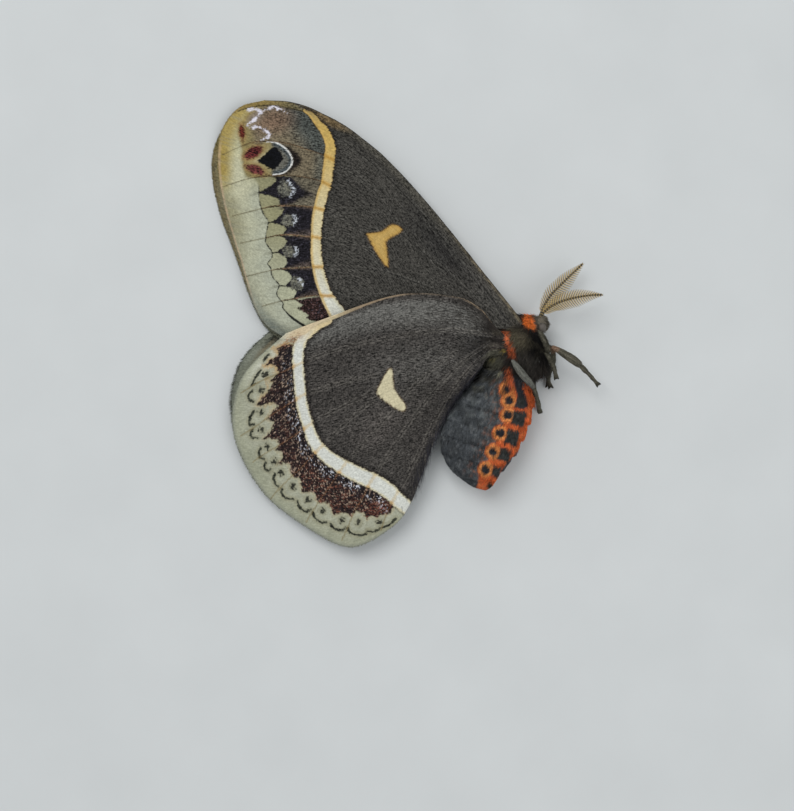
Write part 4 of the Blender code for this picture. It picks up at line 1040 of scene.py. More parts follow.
def evaluated_mesh(obj, name):
    """Plain mesh of an object with its modifiers, after which the object goes."""
    bpy.context.view_layer.update()
    mesh = bpy.data.meshes.new_from_object(obj.evaluated_get(bpy.context.evaluated_depsgraph_get()))
    mesh.name = name
    bpy.data.objects.remove(obj)
    return mesh


def new_object(name, data):
    obj = bpy.data.objects.new(name, data)
    bpy.context.scene.collection.objects.link(obj)
    return obj


def rings_mesh(name, rings):
    """Skin a (rings, around, 3) array and close both ends with a fan."""
    rings = np.asarray(rings)
    count, around = rings.shape[:2]
    vertices = np.vstack([rings.reshape(-1, 3), rings[0].mean(0)[None], rings[-1].mean(0)[None]])
    faces = []
    for r in range(count - 1):
        for k in range(around):
            a, b = r * around + k, r * around + (k + 1) % around
            faces.append((a, b, b + around, a + around))
    first, last = count * around, count * around + 1
    for k in range(around):
        faces.append(((k + 1) % around, k, first))
        faces.append(((count - 1) * around + k, (count - 1) * around + (k + 1) % around, last))
    mesh = bpy.data.meshes.new(name)
    mesh.from_pydata(vertices.tolist(), [], faces)
    turn_outward(mesh)
    return mesh


def turn_outward(mesh):
    bm = bmesh.new()
    bm.from_mesh(mesh)
    bmesh.ops.recalc_face_normals(bm, faces=bm.faces[:])
    if bm.calc_volume(signed=True) < 0:
        bmesh.ops.reverse_faces(bm, faces=bm.faces[:])
    bm.to_mesh(mesh)
    bm.free()
    mesh.update()


def join_meshes(name, meshes):
    bm = bmesh.new()
    for mesh in meshes:
        bm.from_mesh(mesh)
    joined = bpy.data.meshes.new(name)
    bm.to_mesh(joined)
    bm.free()
    return joined


def tube_rings(points, radii, steps, sides):
    """Rings round a smooth path whose radius varies from point to point."""
    t = np.linspace(0, 1, steps + 1)
    path = curve(points, t)
    sizes = curve(np.array(radii)[:, None], t)[:, 0]
    ahead = np.gradient(path, axis=0)
    ahead /= np.linalg.norm(ahead, axis=1)[:, None]
    side = np.array([0.0, 0.0, 1.0])
    rings = []
    for place, direction, size in zip(path, ahead, sizes):
        side = side - direction * side.dot(direction)
        side /= np.linalg.norm(side)
        other = np.cross(direction, side)
        angles = 2 * np.pi * np.arange(sides) / sides
        rings.append(place + (np.cos(angles)[:, None] * side + np.sin(angles)[:, None] * other) * size)
    return np.array(rings)


# Body skin

def body_frame(front, rear):
    front, rear = np.array((*front, 0.0)), np.array((*rear, 0.0))
    ahead = (rear - front) / np.linalg.norm(rear - front)
    back = np.array([ahead[1], -ahead[0], 0.0])
    return front, ahead, back if back[0] < 0 else -back


def body_rings(front, rear, profile, shrink, count, around, step):
    """Rings of a body part, wider to the back than to the belly, sunk below the coat.

    Each segment widens to its hind edge by the share step and the next starts narrower under it.
    """
    origin, ahead, back = body_frame(front, rear)
    places = np.linspace(profile[0][0], profile[-1][0] - shrink, count + 1)
    values = hermite([row[0] for row in profile], [row[1:] for row in profile], places)
    angles = 2 * np.pi * (np.arange(around) + 0.5) / around
    rings = []
    for place, (to_back, to_belly, half) in zip(places, values):
        share = (place / SEGMENT_PITCH + 0.5) % 1.0
        swell = 1.0 + step * (share - 1.0) - step * 0.6 * float(fade(0.93, 1.0, share))
        if step:
            to_belly = (to_belly + table(BELLY_SWELL, place)) * (1.0 + step * 2.0 * (share - 1.0))
        reach = np.maximum(np.where(np.cos(angles) > 0, to_back, to_belly) * swell - shrink, 0.2)
        ring = origin + ahead * place + (reach * np.cos(angles))[:, None] * back
        ring[:, 2] = np.maximum(BODY_HEIGHT + max(half * swell - shrink, 0.2) * np.sin(angles), 0.12)
        rings.append(ring)
    return np.array(rings)


def ellipsoid_mesh(name, centre, radii, around=32, rings=24):
    bm = bmesh.new()
    bmesh.ops.create_uvsphere(bm, u_segments=around, v_segments=rings, radius=1.0)
    matrix = Matrix.Translation(centre) @ Matrix.Diagonal((*radii, 1.0))
    bmesh.ops.transform(bm, matrix=matrix, verts=bm.verts[:])
    mesh = bpy.data.meshes.new(name)
    bm.to_mesh(mesh)
    bm.free()
    return mesh


def part_places(x, y):
    """Distance along the abdomen's axis and towards its back, and the same for the thorax."""
    values = []
    for front, rear in ((ABDOMEN_FRONT, ABDOMEN_TIP), (THORAX_FRONT, THORAX_REAR)):
        origin, ahead, back = body_frame(front, rear)
        dx, dy = x - origin[0], y - origin[1]
        values += [dx * ahead[0] + dy * ahead[1], dx * back[0] + dy * back[1]]
    return values


def as_seen(x, y, z):
    """Plan place of a point at height z as the photo shows it from above the moth's middle."""
    return scaled(x, y, (PHOTO_DISTANCE - TRUE_SCALE_HEIGHT) / (PHOTO_DISTANCE - z))


def paint_body(x, y, z):
    """Dark fur with the orange rings, net and collar, alike on both sides."""
    abdomen_place = part_places(x, y)[0]
    x, y = as_seen(x, y, z)
    canvas = Canvas(x, y, "#37322F")
    lay = canvas.lay
    jitter = noise(x, y, 0.45, 81) * 0.13 + noise(x + 7, y + z, 0.25, 82) * 0.08
    hinder = fade(-0.2, 1.2, abdomen_place)
    strands = fade(0.3, 0.8, noise(x, y, 0.26, 101)) * (1 - hinder)
    lay(strands, "#756F64", 0.5)
    canvas.patch((21.92, -4.42), 2.1, 3.8, 15, 1.4, "#0E0D0E", 0.96, 1 - hinder)
    lay(fade(0.0, 0.7, noise(x, y, 0.9, 84)) * (1 - hinder), "#4E493C", 0.4)
    lay(fade(0.1, 0.6, noise(x, y, 0.5, 97)) * (1 - hinder), "#1E1B1A", 0.5)
    canvas.patch((20.92, -8.42), 2.6, 2.0, 30, 1.4, "#2C2723", 0.7, 1 - hinder)
    canvas.patch((20.0, -6.67), 2.3, 1.3, -60, 1.0, "#524E49", 0.75, 1 - hinder, jitter=jitter)
    canvas.patch((18.42, -2.75), 1.9, 1.4, -40, 0.9, "#7C7460", 0.9, jitter=jitter)
    canvas.patch((23.08, 0.25), 1.7, 1.6, 0, 0.8, "#8F8778", 0.9)
    canvas.patch((23.83, -0.58), 0.55, 2.0, 12, 0.35, "#1F1B19", 0.7, jitter=jitter)
    canvas.patch((18.92, 1.83), 1.2, 0.6, 30, 0.4, "#1D1A19", 0.9, jitter=jitter)
    lay(hinder, "#53575A")
    lay(hinder * fade(0.0, 0.7, noise(x, y, 1.1, 83) + 0.1), "#3E4041", 0.6)
    wisps = hinder * fade(15.0, 8.0, abdomen_place)
    lay(wisps * fade(0.1, 0.7, noise(x + 3, y, 0.7, 88)), "#7C8181", 0.42)
    lay(hinder * fade(9.0, 16.0, abdomen_place), "#43464A", 0.45)
    base = hinder * fade(6.5, 2.5, abdomen_place)
    lay(base * fade(-0.3, 0.4, noise(x, y, 0.6, 89)), "#5D5A48", 0.6)
    lay(base * fade(0.1, 0.6, noise(x, y, 0.8, 90)), "#2B2927", 0.7)
    lines = np.abs((abdomen_place / SEGMENT_PITCH) % 1.0 - 0.5) * SEGMENT_PITCH
    broken = fade(-0.5, 0.3, noise(x, y, 1.6, 96))
    lay(hinder * fade(0.1, 0.6, noise(x * 0.5 + y, x - y * 0.2, 0.45, 99)), "#8B8E8E", 0.32)
    lay(hinder * broken * fade(0.2, 0.03, lines + jitter * 0.6), "#222427", 0.7)
    orange = inside(canvas.depth(BELLY_EDGE, 3) + jitter * 0.8, 0.14)
    rings = np.zeros(x.shape)
    for centre in SIDE_RINGS:
        rings = np.maximum(rings, inside(ellipse_depth(x, y, centre, 1.42, 1.42) + jitter * 0.7, 0.12))
        glow = inside(ellipse_depth(x, y, (centre[0] - 0.7, centre[1]), 2.4, 1.6), 0.9)
        lay(glow * fade(0.1, 0.6, noise(x, y, 0.35, 102)) * hinder, "#A06A50", 0.5)
    lay(orange, "#DA6A3A")
    lay(orange * fade(-0.2, 0.6, noise(x, y, 0.4, 85)), "#E58048", 0.6)
    lay(rings, "#CE683C")
    for centre in SIDE_RINGS:
        lay(inside(ellipse_depth(x, y, centre, 1.24, 1.24) + jitter, 0.2), "#EC9A58")
        lay(inside(ellipse_depth(x, y, centre, 0.74, 0.72) + jitter, 0.12), "#343438")
    stripe = canvas.depth(BELLY_STRIPE, 3) + jitter
    lay(inside(stripe, 0.16), "#3C3D42")
    axis = math.atan2(ABDOMEN_TIP[1] - ABDOMEN_FRONT[1], ABDOMEN_TIP[0] - ABDOMEN_FRONT[0])
    c, s = math.cos(axis), math.sin(axis)
    for centre, half_long, half_wide in BELLY_SQUARES:
        dx, dy = x - centre[0], y - centre[1]
        square = np.maximum(np.abs(dx * c + dy * s) - half_long, np.abs(-dx * s + dy * c) - half_wide)
        lay(inside(square + jitter, 0.14), "#424442")
    for corners in (COLLAR,) + ORANGE_STRIPS:
        depth = canvas.depth(corners, 3) + jitter * 0.7
        lay(inside(depth, 0.14), "#EC7F3A" if corners is COLLAR else "#DC7448")
    for centre, radius, code in PALE_SPECKS:
        lay(inside(ellipse_depth(x, y, centre, radius, radius) + jitter, 0.2), code)
    canvas.shade(1.0 + 0.16 * noise(x, y, 0.6, 86) + 0.12 * noise(y, z, 0.35, 87)
                 + 0.3 * noise(x, y, 0.26, 103))
    return canvas.rgb


def wrap_uv(x, y, z):
    """Unwrap of the body: along its axis, and round it."""
    bend = np.clip((-8.7 - y) / 2.0 * 0.5 + 0.5, 0, 1)
    _, abdomen_back, _, thorax_back = part_places(x, y)
    around = np.arctan2(z - BODY_HEIGHT, abdomen_back * bend + thorax_back * (1 - bend)) / (2 * np.pi) + 0.5
    return (4.0 - y) / 34.0, around


def build_skin():
    thorax = rings_mesh("thorax", body_rings(THORAX_FRONT, THORAX_REAR, THORAX_PROFILE, 0.6, 24, 48, 0.0))
    abdomen = rings_mesh("abdomen",
                         body_rings(ABDOMEN_FRONT, ABDOMEN_TIP, ABDOMEN_PROFILE, 0.25, 120, 72, 0.03))
    head = ellipsoid_mesh("head", (*HEAD_CENTRE, BODY_HEIGHT), [r - 0.35 for r in HEAD_RADII])
    obj = new_object("skin", join_meshes("skin", [thorax, abdomen, head]))
    remesh = obj.modifiers.new("even", "REMESH")
    remesh.mode = "VOXEL"
    remesh.voxel_size = 0.17
    smooth = obj.modifiers.new("soften", "SMOOTH")
    smooth.iterations = 2
    mesh = evaluated_mesh(obj, "body_skin")
    x, y, z = read_all(mesh.vertices, "co", 3).astype(float).T
    normals = read_all(mesh.vertices, "normal", 3).astype(float)
    abdomen_place, _, _, thorax_back = part_places(x, y)
    hinder = fade(-0.4, 1.4, abdomen_place)
    _, abdomen_ahead, _ = body_frame(ABDOMEN_FRONT, ABDOMEN_TIP)
    _, thorax_ahead, _ = body_frame(THORAX_FRONT, THORAX_REAR)
    wingward = fade(0.5, 3.5, thorax_back)[:, None] * np.array([-0.75, -0.35, 0.1])
    lie = abdomen_ahead * hinder[:, None] + (thorax_ahead + wingward) * (1 - hinder)[:, None]
    at_head = fade(2.4, 1.5, np.hypot(x - HEAD_CENTRE[0], y - HEAD_CENTRE[1]))
    lie = lie * (1 - at_head)[:, None] + np.array([0.8, -0.3, 0.0]) * at_head[:, None]
    sway = np.stack([noise(x, y, 1.4, 91), noise(y, z, 1.4, 92), noise(z, x, 1.4, 93)], axis=1)
    lie = lie + 0.4 * sway
    lie -= normals * np.sum(lie * normals, axis=1)[:, None]
    lie /= np.linalg.norm(lie, axis=1)[:, None] + 1e-9
    length = 1.5 * (1 - hinder) + 0.7 * hinder + 0.7 * hinder * fade(5.0, 1.0, abdomen_place)
    length *= 1.0 - 0.55 * fade(17.5, 19.5, abdomen_place)
    length = length * (1 - at_head) + 0.75 * at_head
    seen_x, seen_y = as_seen(x, y, z)
    length += 1.1 * fade(2.4, 0.6, np.hypot(seen_x - LEG_TUFT[0], seen_y - LEG_TUFT[1]))
    collar = inside(polygon_depth(seen_x, seen_y, COLLAR), 0.5)
    length *= (1.0 + 0.3 * noise(x, y, 0.8, 94)) * (1 - 0.4 * collar)
    length = np.minimum(length, 0.15 + np.maximum(z - 0.2, 0.0) * 0.9)
    cover = np.where(z < 0.35, 0.15, 1.0)
    middle = lie * (length * 0.3)[:, None]
    colours = paint_body(x + middle[:, 0], y + middle[:, 1], z)
    set_attribute(mesh, "tint", with_last(colours, 1.0))
    set_attribute(mesh, "lie", lie)
    set_attribute(mesh, "length", length)
    set_attribute(mesh, "cover", cover)
    set_attribute(mesh, "part", hinder)
    around = np.array(wrap_uv(x, y, z)).T
    set_attribute(mesh, "skin_place", with_last(around, 0.0))
    return mesh


# Coat

def add(tree, kind, links=None, **settings):
    """Outputs of one new node with its settings and with what its inputs take."""
    node = tree.nodes.new(kind)
    for key, value in settings.items():
        setattr(node, key, value)
    fill(tree, node, links or {})
    return node.outputs


def fill(tree, node, links):
    """Gives each named input of a node a socket or a plain value."""
    for key, source in links.items():
        if isinstance(source, bpy.types.NodeSocket):
            tree.links.new(source, node.inputs[key])
        else:
            node.inputs[key].default_value = source


def new_tree(name, inputs):
    """Geometry tree with named inputs and one geometry output."""
    tree = bpy.data.node_groups.new(name, "GeometryNodeTree")
    for label, kind in inputs:
        tree.interface.new_socket(label, in_out="INPUT", socket_type="NodeSocket" + kind)
    tree.interface.new_socket(name, in_out="OUTPUT", socket_type="NodeSocketGeometry")
    return tree, add(tree, "NodeGroupInput")


def close_tree(tree, geometry, material):
    finished = add(tree, "GeometryNodeSetMaterial", {"Geometry": geometry, "Material": material})[0]
    add(tree, "NodeGroupOutput", {0: finished})
    return tree


def input_names(tree):
    """Identifiers of a tree's inputs by their names."""
    return {item.name: item.identifier for item in tree.interface.items_tree
            if item.in_out == "INPUT"}


def hair_mesh():
    """One hair as a three-sided spike a unit long and wide, bent towards -X."""
    vertices = []
    for place, size in ((0.0, 0.5), (0.5, 0.36)):
        for k in range(3):
            angle = 2 * math.pi * k / 3
            vertices.append((size * math.cos(angle) - 0.6 * place ** 2, size * math.sin(angle), place))
    vertices.append((-0.6, 0.0, 1.0))
    faces = [(2, 1, 0)]
    for k in range(3):
        n = (k + 1) % 3
        faces += [(k, n, n + 3, k + 3), (k + 3, n + 3, 6)]
    mesh = bpy.data.meshes.new("hair")
    mesh.from_pydata(vertices, [], faces)
    turn_outward(mesh)
    set_attribute(mesh, "patch", [(0.5 + v[0] * 0.5, v[2], 0.0) for v in vertices])
    return mesh


def coat_tree():
    """Scatters hairs over a bed by its cover, along its lie, tinted as the bed is."""
    tree, given = new_tree("Coat", (("Bed", "Geometry"), ("Hair", "Object"), ("Density", "Float"),
                                    ("Width", "Float"), ("Lift", "Float"), ("Scatter", "Float"),
                                    ("Seed", "Int"), ("Finish", "Material")))
    read = {name: add(tree, "GeometryNodeInputNamedAttribute", {"Name": name}, data_type=kind)[0]
            for name, kind in (("cover", "FLOAT"), ("length", "FLOAT"), ("lie", "FLOAT_VECTOR"),
                               ("patch", "FLOAT_VECTOR"), ("skin_place", "FLOAT_VECTOR"))}
    drawn = {}
    for name, low, high, offset in (("shade", 0.62, 1.4, 3.0), ("length", 0.6, 1.15, 7.0),
                                    ("width", 0.75, 1.25, 9.0)):
        seed = add(tree, "ShaderNodeMath", {0: given["Seed"], 1: offset}, operation="ADD")[0]
        drawn[name] = add(tree, "FunctionNodeRandomValue", {2: low, 3: high, "Seed": seed},
                          data_type="FLOAT")[1]
    seed = add(tree, "ShaderNodeMath", {0: given["Seed"], 1: 5.0}, operation="ADD")[0]
    jostle = add(tree, "FunctionNodeRandomValue", {0: (-1, -1, -1), 1: (1, 1, 1), "Seed": seed},
                 data_type="FLOAT_VECTOR")[0]
    density = add(tree, "ShaderNodeMath", {0: given["Density"], 1: read["cover"]},
                  operation="MULTIPLY")[0]
    scatter = add(tree, "GeometryNodeDistributePointsOnFaces",
                  {"Mesh": given["Bed"], "Density": density, "Seed": given["Seed"]})
    points = add(tree, "GeometryNodeStoreNamedAttribute",
                 {"Geometry": scatter["Points"], "Name": "shade", "Value": drawn["shade"]},
                 data_type="FLOAT", domain="POINT")[0]
    raised = add(tree, "ShaderNodeVectorMath", {0: scatter["Normal"], "Scale": given["Lift"]},
                 operation="SCALE")[0]
    loose = add(tree, "ShaderNodeVectorMath", {0: jostle, "Scale": given["Scatter"]},
                operation="SCALE")[0]
    aim = add(tree, "ShaderNodeVectorMath", {0: read["lie"], 1: raised}, operation="ADD")[0]
    aim = add(tree, "ShaderNodeVectorMath", {0: aim, 1: loose}, operation="ADD")[0]
    turn = add(tree, "FunctionNodeAlignRotationToVector", {"Vector": aim}, axis="Z")[0]
    turn = add(tree, "FunctionNodeAlignRotationToVector", {"Rotation": turn, "Vector": scatter["Normal"]},
               axis="X", pivot_axis="Z")[0]
    long = add(tree, "ShaderNodeMath", {0: read["length"], 1: drawn["length"]},
               operation="MULTIPLY")[0]
    wide = add(tree, "ShaderNodeMath", {0: given["Width"], 1: drawn["width"]},
               operation="MULTIPLY")[0]
    size = add(tree, "ShaderNodeCombineXYZ", {"X": wide, "Y": wide, "Z": long})[0]
    strand = add(tree, "GeometryNodeObjectInfo", {"Object": given["Hair"]})["Geometry"]
    placed = add(tree, "GeometryNodeInstanceOnPoints",
                 {"Points": points, "Instance": strand, "Rotation": turn, "Scale": size})[0]
    real = add(tree, "GeometryNodeRealizeInstances", {"Geometry": placed})[0]
    # Each hair is a patch 0.003 across at its root's place on the unwrapped skin
    patch = add(tree, "ShaderNodeVectorMath", {0: read["patch"], "Scale": 0.003},
                operation="SCALE")[0]
    unwrapped = add(tree, "ShaderNodeVectorMath", {0: read["skin_place"], 1: patch},
                    operation="ADD")[0]
    stored = add(tree, "GeometryNodeStoreNamedAttribute",
                 {"Geometry": real, "Name": "OFBake", "Value": unwrapped},
                 data_type="FLOAT2", domain="CORNER")[0]
    return close_tree(tree, stored, given["Finish"])


def grow_coat(name, bed, values, slot):
    """Runs the coat tree on a copy of a bed mesh and keeps the hairs as a plain mesh."""
    tree = bpy.data.node_groups.get("Coat") or coat_tree()
    strand = bpy.data.objects.get("hair_strand")
    if strand is None:
        strand = new_object("hair_strand", hair_mesh())
        strand.hide_render = True
    obj = new_object(name, bed.copy())
    modifier = obj.modifiers.new("coat", "NODES")
    modifier.node_group = tree
    names = input_names(tree)
    modifier[names["Hair"]] = strand
    modifier[names["Finish"]] = coat_material()
    for key, value in values.items():
        modifier[names[key]] = value
    finish_mesh(evaluated_mesh(obj, name), name, coat_material(), slot)


# Materials

def new_material(name):
    material = bpy.data.materials.get(name)
    if material:
        return material, None, None
    material = bpy.data.materials.new(name)
    material.use_nodes = True
    tree = material.node_tree
    return material, tree, tree.nodes["Principled BSDF"]


def wing_material():
    """Wing membrane under powdery scales: matte, with fine streaks and grain."""
    material, tree, shader = new_material("powdery_wing_scales")
    if tree is None:
        return material
    pattern = add(tree, "ShaderNodeAttribute", attribute_name="pattern")["Color"]
    lengths = add(tree, "ShaderNodeAttribute", attribute_name="lengths")["Vector"]
    # Scales about 0.1 mm wide lie in rows along the wing; drawn 0.5 mm long so that they show
    strength = add(tree, "ShaderNodeSeparateXYZ", {0: lengths})["Z"]
    rows = add(tree, "ShaderNodeVectorMath", {0: lengths, 1: (1.1, 5.0, 0.0)},
               operation="MULTIPLY")[0]
    streak = add(tree, "ShaderNodeTexNoise", {"Vector": rows, "Scale": 1.0, "Detail": 2.0})[0]
    place = add(tree, "ShaderNodeTexCoord")["Object"]
    grain = add(tree, "ShaderNodeTexNoise", {"Vector": place, "Scale": 3600.0, "Detail": 3.0})[0]
    both = add(tree, "ShaderNodeMath", {0: streak, 1: grain}, operation="ADD")[0]
    swing = add(tree, "ShaderNodeMapRange", {"Value": both, "From Min": 0.76, "From Max": 1.4,
                                             "To Min": -0.92, "To Max": 1.6})[0]
    tone = add(tree, "ShaderNodeMath", {0: swing, 1: strength, 2: 1.0}, operation="MULTIPLY_ADD")[0]
    colour = add(tree, "ShaderNodeVectorMath", {0: pattern, "Scale": tone}, operation="SCALE")[0]
    bump = add(tree, "ShaderNodeBump", {"Height": tone, "Strength": 0.5, "Distance": 0.00008})[0]
    fill(tree, shader, {"Base Color": colour, "Normal": bump, "Roughness": 0.7, "Specular IOR Level": 0.1})
    return material


def coat_material():
    """Moth fur: flattened hair-like scales, soft and slightly silky, darker at the root."""
    material, tree, shader = new_material("silky_moth_fur")
    if tree is None:
        return material
    tint = add(tree, "ShaderNodeAttribute", attribute_name="tint")["Color"]
    shade = add(tree, "ShaderNodeAttribute", attribute_name="shade")["Fac"]
    height = add(tree, "ShaderNodeAttribute", attribute_name="patch")["Vector"]
    rise = add(tree, "ShaderNodeSeparateXYZ", {0: height})["Y"]
    tip = add(tree, "ShaderNodeMapRange", {"Value": rise, "To Min": 0.7, "To Max": 1.25})[0]
    factor = add(tree, "ShaderNodeMath", {0: shade, 1: tip}, operation="MULTIPLY")[0]
    colour = add(tree, "ShaderNodeVectorMath", {0: tint, "Scale": factor}, operation="SCALE")[0]
    fill(tree, shader, {"Base Color": colour, "Roughness": 0.6, "Specular IOR Level": 0.15})
    return material


def grained_material(name, low, high, strength, depth, finish):
    """Cuticle with a tint of its own, broken up by grains about 0.15 mm across."""
    material, tree, shader = new_material(name)
    if tree is None:
        return material
    tint = add(tree, "ShaderNodeAttribute", attribute_name="tint")["Color"]
    place = add(tree, "ShaderNodeTexCoord")["Object"]
    grain = add(tree, "ShaderNodeTexNoise", {"Vector": place, "Scale": 6500.0, "Detail": 3.0})[0]
    tone = add(tree, "ShaderNodeMapRange", {"Value": grain, "From Min": 0.3, "From Max": 0.7,
                                            "To Min": low, "To Max": high})[0]
    colour = add(tree, "ShaderNodeVectorMath", {0: tint, "Scale": tone}, operation="SCALE")[0]
    bump = add(tree, "ShaderNodeBump", {"Height": grain, "Strength": strength, "Distance": depth})[0]
    fill(tree, shader, {"Base Color": colour, "Normal": bump, **finish})
    return material


def skin_material():
    """Dried cuticle under the fur: dull, dark between the hairs."""
    return grained_material("dried_cuticle_skin", 0.45, 0.95, 0.8, 0.0001,
                            {"Roughness": 0.8, "Specular IOR Level": 0.2})


def leg_material():
    """Dried leg clad in flat grey-olive scales, with tan wear in places."""
    return grained_material("scaled_dry_leg", 0.35, 1.6, 1.0, 0.00015,
                            {"Roughness": 0.75, "Specular IOR Level": 0.12})


def antenna_material():
    """Feeler cuticle: tan, half clear in life, with a dark joint at each ring of the shaft."""
    material, tree, shader = new_material("tan_feeler_cuticle")
    if tree is None:
        return material
    tint = add(tree, "ShaderNodeAttribute", attribute_name="tint")["Color"]
    place = add(tree, "ShaderNodeTexCoord")["Object"]
    grain = add(tree, "ShaderNodeTexNoise", {"Vector": place, "Scale": 9000.0})[0]
    tone = add(tree, "ShaderNodeMapRange", {"Value": grain, "To Min": 0.75, "To Max": 1.25})[0]
    colour = add(tree, "ShaderNodeVectorMath", {0: tint, "Scale": tone}, operation="SCALE")[0]
    fill(tree, shader, {"Base Color": colour, "Roughness": 0.5})
    return material


def eye_material():
    """Dried compound eye: brown-grey, a low shine broken by its facets."""
    material, tree, shader = new_material("dried_compound_eye")
    if tree is None:
        return material
    place = add(tree, "ShaderNodeTexCoord")["Object"]
    # Facets are 0.03 mm across; drawn 0.08 mm so that they show
    facets = add(tree, "ShaderNodeTexVoronoi", {"Vector": place, "Scale": 12500.0})["Distance"]
    cloud = add(tree, "ShaderNodeTexNoise", {"Vector": place, "Scale": 1500.0, "Detail": 2.0})[0]
    colour = add(tree, "ShaderNodeMix", {0: cloud, "A": shader_colour("#30322A"),
                                         "B": shader_colour("#6E655F")}, data_type="RGBA")["Result"]
    bump = add(tree, "ShaderNodeBump", {"Height": facets, "Strength": 0.5, "Distance": 0.00005})[0]
    fill(tree, shader, {"Base Color": colour, "Normal": bump, "Roughness": 0.45, "Specular IOR Level": 0.3})
    return material


def floor_material():
    """Plain pale painted board, matte."""
    material, tree, shader = new_material("pale_matte_board")
    if tree is None:
        return material
    place = add(tree, "ShaderNodeTexCoord")["Object"]
    grain = add(tree, "ShaderNodeTexNoise", {"Vector": place, "Scale": 60.0, "Detail": 4.0})[0]
    colour = add(tree, "ShaderNodeMix", {0: grain, "A": shader_colour("#C6C9C9"),
                                         "B": shader_colour("#D0D3D3")}, data_type="RGBA")["Result"]
    fill(tree, shader, {"Base Color": colour, "Roughness": 0.75})
    return material


# Pieces

def make_wings(sizes):
    for name, rows, columns in WING_GRIDS:
        build_wing(name, rows, columns, sizes.wing_thickness / MM)


def make_body(sizes):
    skin = build_skin()
    beds = skin.copy()
    finish_mesh(skin, "body_skin", skin_material(), "thorax", "thorax", "abdomen", "head")
    fore, hind = beds.copy(), beds.copy()
    part, cover = (read_all(beds.attributes[name].data, "value", 1)[:, 0] for name in ("part", "cover"))
    fore.attributes["cover"].data.foreach_set("value", cover * (1 - part))
    hind.attributes["cover"].data.foreach_set("value", cover * part)
    grow_coat("thorax_fur", fore, {"Density": sizes.thorax_density, "Width": 0.08, "Lift": 0.34,
                                   "Scatter": 0.5, "Seed": 3}, "thorax")
    grow_coat("abdomen_fur", hind, {"Density": sizes.abdomen_density, "Width": 0.075, "Lift": 0.12,
                                    "Scatter": 0.2, "Seed": 4}, "abdomen")


def make_eyes():
    for name, side in (("eye_right", 1.0), ("eye_left", -1.0)):
        centre = (HEAD_CENTRE[0] + EYE_OFFSET[0] - 0.25, HEAD_CENTRE[1] + EYE_OFFSET[1] - 0.1,
                  BODY_HEIGHT + side * (EYE_HEIGHT - 0.2))
        mesh = ellipsoid_mesh(name, centre, [r * 0.88 for r in EYE_RADII], 40, 28)
        finish_mesh(mesh, "compound_" + name, eye_material(), "eye", name)


def make_legs(sizes):
    """The six dried legs with claws, clad in flat scales and hairs."""
    for name, segments in LEGS.items():
        parts, beds = [], []
        for number, segment in enumerate(segments):
            places = np.array([(*place_under(*place, z), z) for place, z, _ in segment])
            radii = [r * 0.94 for _, _, r in segment]
            rings = tube_rings(places, radii, LEG_STEPS, LEG_SIDES)
            tube = rings_mesh(name, rings)
            share = np.repeat(np.linspace(0, 1, len(rings)), LEG_SIDES)
            around = np.tile(np.arange(LEG_SIDES) / LEG_SIDES, len(rings))
            x, y, z = rings.reshape(-1, 3).T
            streak = noise(np.cos(around * 6.28) * 4 + share * 2.0, np.sin(around * 6.28) * 4, 0.5, 98)
            streak = streak * 0.6 + 0.4 * noise(x + z, y, 0.3, 100)
            upper = name == "hindleg_right" and number == 0
            tints = np.tile(linear("#6A6A63" if upper else "#5B584C"), (len(x), 1))
            tints = tints * (1 + (0.5 if upper else 0.6) * streak)[:, None]
            knee = fade(1.1, 0.4, np.hypot(x - KNEE[0], y - KNEE[1]))[:, None]
            tints = tints * (1 - knee * 0.7) + linear("#8C6C58") * knee * 0.7
            tarsus = number == len(segments) - 1
            last = fade(0.82, 1.0, share)[:, None] * tarsus
            tints = tints * (1 - 0.55 * last) * (0.85 if tarsus else 1.0)
            ends = np.vstack([tints, tints[:1], tints[-1:]])
            set_attribute(tube, "tint", with_last(ends, 1.0))
            parts.append(tube)
            ahead = np.gradient(rings.mean(axis=1), axis=0)
            ahead = np.repeat(ahead / np.linalg.norm(ahead, axis=1)[:, None], LEG_SIDES, axis=0)
            shaggy = 0.5 * (number == 0) * (not upper)
            length = 0.35 + shaggy * fade(0.0, 0.5, share)
            index = np.arange(len(share)).reshape(-1, LEG_SIDES)
            beside = np.roll(index, -1, axis=1)
            faces = np.stack([index[:-1], beside[:-1], beside[1:], index[1:]], axis=-1)
            hair_tints = tints * (1 - 0.35 * (number == 0) * (not upper))
            bed = bed_mesh(name + "_bed", rings.reshape(-1, 3), faces.reshape(-1, 4).tolist(), hair_tints,
                           ahead, length, np.ones(len(share)),
                           np.stack([(number + share * 0.9) / 3.2, around], axis=1))
            turn_outward(bed)
            beds.append(bed)
        ahead = rings[-1].mean(axis=0) - rings[-4].mean(axis=0)
        ahead /= np.linalg.norm(ahead)
        end = rings[-1].mean(axis=0)
        for hand in (1.0, -1.0):
            side = np.cross(ahead, (0, 0, 1.0)) * hand
            claw = [end - ahead * 0.5 + side * 0.1, end + side * 0.24, end + ahead * 0.3 + side * 0.42]
            hook = rings_mesh("claw", tube_rings(claw, (0.2, 0.2, 0.07), 6, 8))
            dark = np.tile((*linear("#2A2822"), 1.0), (len(hook.vertices), 1))
            set_attribute(hook, "tint", dark)
            parts.append(hook)
        finish_mesh(join_meshes("leg_" + name, parts), "leg_" + name, leg_material(), "leg", name)
        grow_coat(name + "_hair", join_meshes(name + "_beds", beds),
                  {"Density": sizes.leg_density, "Width": 0.06, "Lift": 0.12, "Scatter": 0.2,
                   "Seed": 11}, "leg")


